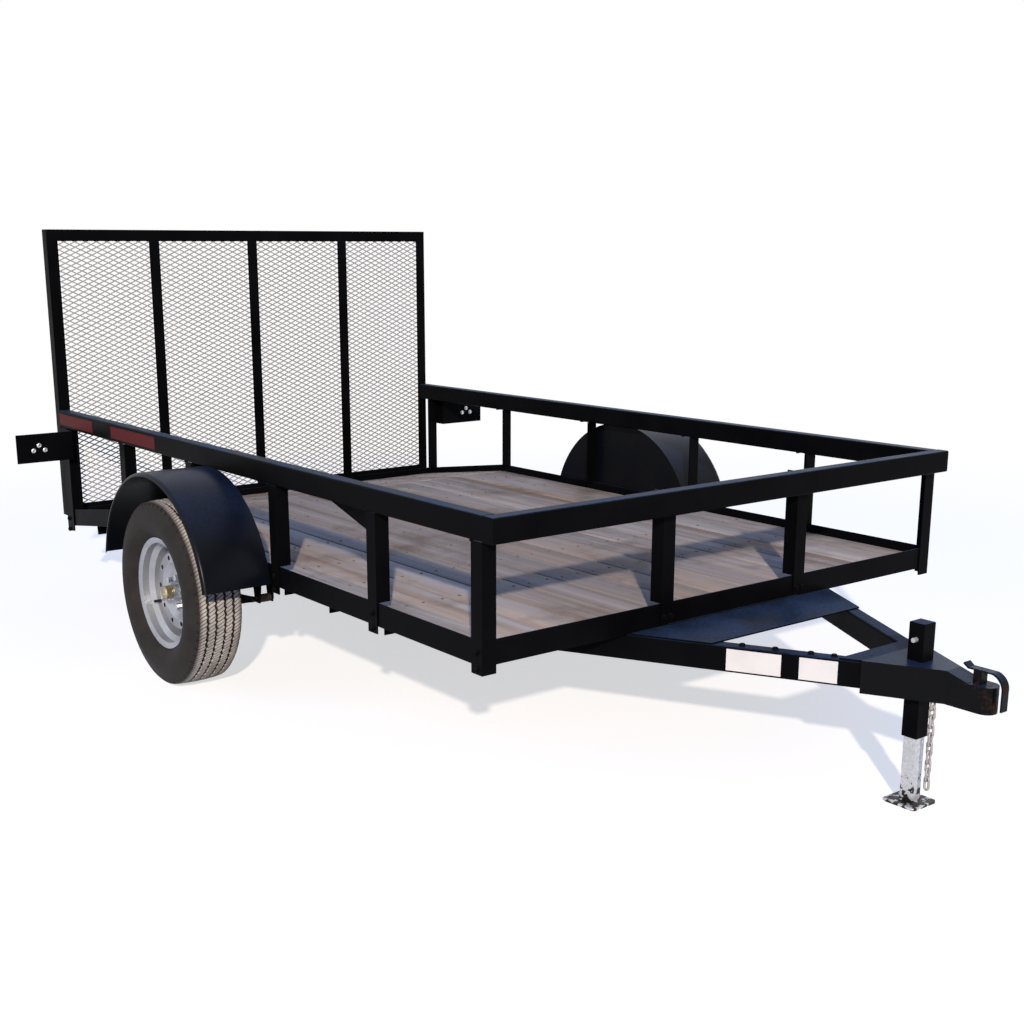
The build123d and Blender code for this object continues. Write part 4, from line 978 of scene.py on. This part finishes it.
# %% Deck screws
SCREW = (0.0052, 0.0022)  # radius and height of the head
SCREW_MIDDLE = 0.0006     # of the head, above the screw's place
PAIR = (-0.3, 0.3)        # from a board's middle, as a share of its width
ASTRAY = 0.004
PROUD = 0.0012            # above the boards
screw = start("cylinder", "deck_screws", vertices=10, radius=SCREW[0], depth=SCREW[1],
              location=(0, 0, SCREW_MIDDLE))
pick(screw, top_of)
step(0.0012, 0.0006)
step(0.0018, -0.0012)
screw_places = []
for low, high in solids_of("cross_members"):
    x = (low.x + high.x) / 2
    fall = max(0.0, (tail_high.x - x) * tail_drop / (tail_high.x - tail_low.x))
    tilt = Matrix.Rotation(-tail_slope if fall else 0.0, 4, "Y")
    for row in range(BOARDS):
        for share in PAIR:
            y = deck_low.y + board_wide / 2 + row * board_pitch + share * board_wide
            y += rng.uniform(-ASTRAY, ASTRAY)
            along = x + rng.uniform(-ASTRAY, ASTRAY)
            screw_places.append((Vector((along, y, deck_high.z - fall + PROUD)), tilt))
hand_over(set_out(screw, screw_places), screw_steel, "chassis")
print("screws", len(screw_places))

# %% [markdown]
# Welded joints show a rounded bead with ripples a few millimetres apart, laid down as the welder
# steps along. One ripple is a small sphere, flattened and laid over, and a row of them at close
# pitch makes the bead. The rows run where the posts meet the rails, and along the tongue plate.

# %% Weld beads
BEAD = 0.0042       # radius of a ripple, and the step from one to the next
LAID = radians(30)  # how far a ripple lies over
UNSTEADY = 0.0004   # of the welder's hand
PLATE_WELD = 0.30   # half the length of the tongue plate's bead
ripple = start("uv_sphere", "weld_beads", segments=8, ring_count=6, radius=BEAD)
bpy.ops.transform.resize(value=(1.0, 0.8, 0.8))
bpy.ops.transform.rotate(value=LAID, orient_axis="Y", center_override=(0, 0, 0))
ripples = []


def weld_run(x, y_from, y_to, z):
    """Ripples along a straight joint across the trailer, each a little out of line."""
    begin = Vector((x, y_from, z))
    run = Vector((x, y_to, z)) - begin
    turn = run.to_track_quat("X", "Z").to_matrix().to_4x4()
    for part in range(int(run.length / BEAD) + 1):
        stray = Vector([rng.uniform(-UNSTEADY, UNSTEADY) for _ in range(3)])
        ripples.append((begin + run.normalized() * part * BEAD + stray, turn))


rail_bottom = span("front_rail")[0].z
for low, high in solids_of("front_posts"):
    weld_run(low.x, low.y, high.y, rail_bottom)
    weld_run(high.x, low.y, high.y, rail_bottom)
plate_low, plate_high = span("tongue_plate")
weld_run(plate_low.x + 0.001, -PLATE_WELD, PLATE_WELD, plate_high.z)
for low, high in solids_of("side_posts"):
    weld_run(low.x, low.y, high.y, rail_bottom)
hand_over(set_out(ripple, ripples), frame_black, "chassis", smooth=80)
print("ripples", len(ripples))

# %% [markdown]
# A tyre valve comes through the rim as a short rubber stem with a cap. It is a cylinder whose top
# face is inset and drawn out step by step, so the cap stands on a neck, as it would be turned on a
# lathe.

# %% Tyre valves
VALVE_AT = (0.150, radians(205))  # reach from the axle, and angle round it
VALVE_OUT = 0.012                 # from the wheel's middle plane
VALVE = (0.0065, 0.010)           # radius and height of the foot
# the inset and the rise of each step
STEM = ((0.0015, 0.003), (0.0, 0.012), (-0.0012, 0.0), (0.0, 0.012), (0.0010, 0.0012))
for side, sign in (("right", -1), ("left", 1)):
    reach, angle = VALVE_AT
    seat = middle("wheel_" + side)
    seat += Vector((reach * cos(angle), sign * VALVE_OUT, reach * sin(angle)))
    valve = start("cylinder", "tyre_valve_" + side, vertices=14, radius=VALVE[0], depth=VALVE[1])
    top = VALVE[1] / 2
    for inset, rise in STEM:
        pick(valve, lambda at, way: top_of(at, way) and at.z > top - 0.0001)
        if inset:
            step(inset, 0)
        bpy.ops.mesh.extrude_region_move(TRANSFORM_OT_translate={"value": (0, 0, rise)})
        top += rise
    stem = set_out(valve, [(seat, OUT[sign])])
    hand_over(stem, base_black, side + "_wheel")

# %% [markdown]
# The floor is a plain pale sheet that keeps the trailer's shadow and fades into the white backdrop
# further out. To the camera, and in polished surfaces, both are white by their own colour, so the
# lamps stay at a plain level.


# %% Floor
FLOOR_SIZE = 60
FLOOR_DOWN = 0.0005   # below the wheels and the stand's foot
FADE = (2.5, 6.5)     # from the middle, where the floor starts to turn white, and is white


def seen_rays(tree):
    """One for rays from the camera, and in gloss or glass."""
    path = add(tree, "LightPath").outputs
    polished = add(tree, "Math", path["Is Glossy Ray"], path["Is Transmission Ray"],
                   operation="MAXIMUM")
    return add(tree, "Math", path["Is Camera Ray"], polished, operation="MAXIMUM")


bpy.ops.object.select_all(action="DESELECT")
bpy.ops.mesh.primitive_plane_add(size=FLOOR_SIZE, location=(0, 0, -FLOOR_DOWN))
floor = bpy.context.object
floor.name = "floor"
bpy.ops.object.transform_apply(location=True, rotation=True, scale=True)
floor_paint, tree, shader, place = fresh("floor_paint", Roughness=0.95, Specular_IOR_Level=0.0)
out_far = add(tree, "VectorMath", place, operation="LENGTH")
fade = add(tree, "MapRange", out_far, interpolation_type="SMOOTHSTEP",
           From_Min=FADE[0], From_Max=FADE[1])
clouds = add(tree, "TexNoise", place, Scale=0.8, Detail=2.0)
pale = add(tree, "ValToRGB", clouds, stops=((0.2, "#c9cacb"), (0.8, "#cfcfd0")))
give_all(shader, Base_Color=add(tree, "Mix", fade, pale, "#000000", data_type="RGBA"))
glow = add(tree, "MapRange", fade, To_Min=0.62, To_Max=1.0)
strength = add(tree, "Math", glow, seen_rays(tree), operation="MULTIPLY")
white = add(tree, "Emission", Color="#ffffff", Strength=strength)
give_all(tree.nodes["Material Output"], Surface=add(tree, "AddShader", shader, white))
floor.data.materials.append(floor_paint)
print("floor", FLOOR_SIZE, "m wide")

# %% [markdown]
# The light is plain. A small warm key lamp stands high and far behind the camera, where it lights
# the whole bed evenly and throws the rails' shadows across the deck. The world fills them with a
# cool light, as the sky does outdoors, and two wide, weak lamps keep the rear and the left side
# readable.


# %% Lamps and world
def lamp(name, place, size, power, colour):
    """A square soft lamp that looks at the middle of the trailer."""
    light = bpy.data.lights.new(name, "AREA")
    light.size = size
    light.energy = power
    light.color = linear(colour)[:3]
    holder = bpy.data.objects.new(name, light)
    bpy.context.collection.objects.link(holder)
    holder.location = place
    towards = Vector((0, 0, 0.5)) - Vector(place)
    holder.rotation_euler = towards.to_track_quat("-Z", "Y").to_euler()


lamp("key", place=(19.4, -14.2, 11.3), size=0.6, power=8300, colour="#fff0e0")
lamp("fill", place=(-5.0, -8.0, 6.0), size=5.0, power=85, colour="#d3e1ff")
lamp("rim", place=(-2.0, 7.0, 5.0), size=5.0, power=55, colour="#d3e1ff")
world = bpy.data.worlds.new("studio")
bpy.context.scene.world = world
world.use_nodes = True
tree = world.node_tree
cool = give_all(tree.nodes["Background"], Color="#6f9ff4", Strength=0.46)
seen = add(tree, "Background", Color="#ffffff", Strength=1.0)
mixed = add(tree, "MixShader", seen_rays(tree), cool, seen)
give_all(tree.nodes["World Output"], Surface=mixed)
bpy.context.scene.view_settings.view_transform = "Standard"
print("stage set")
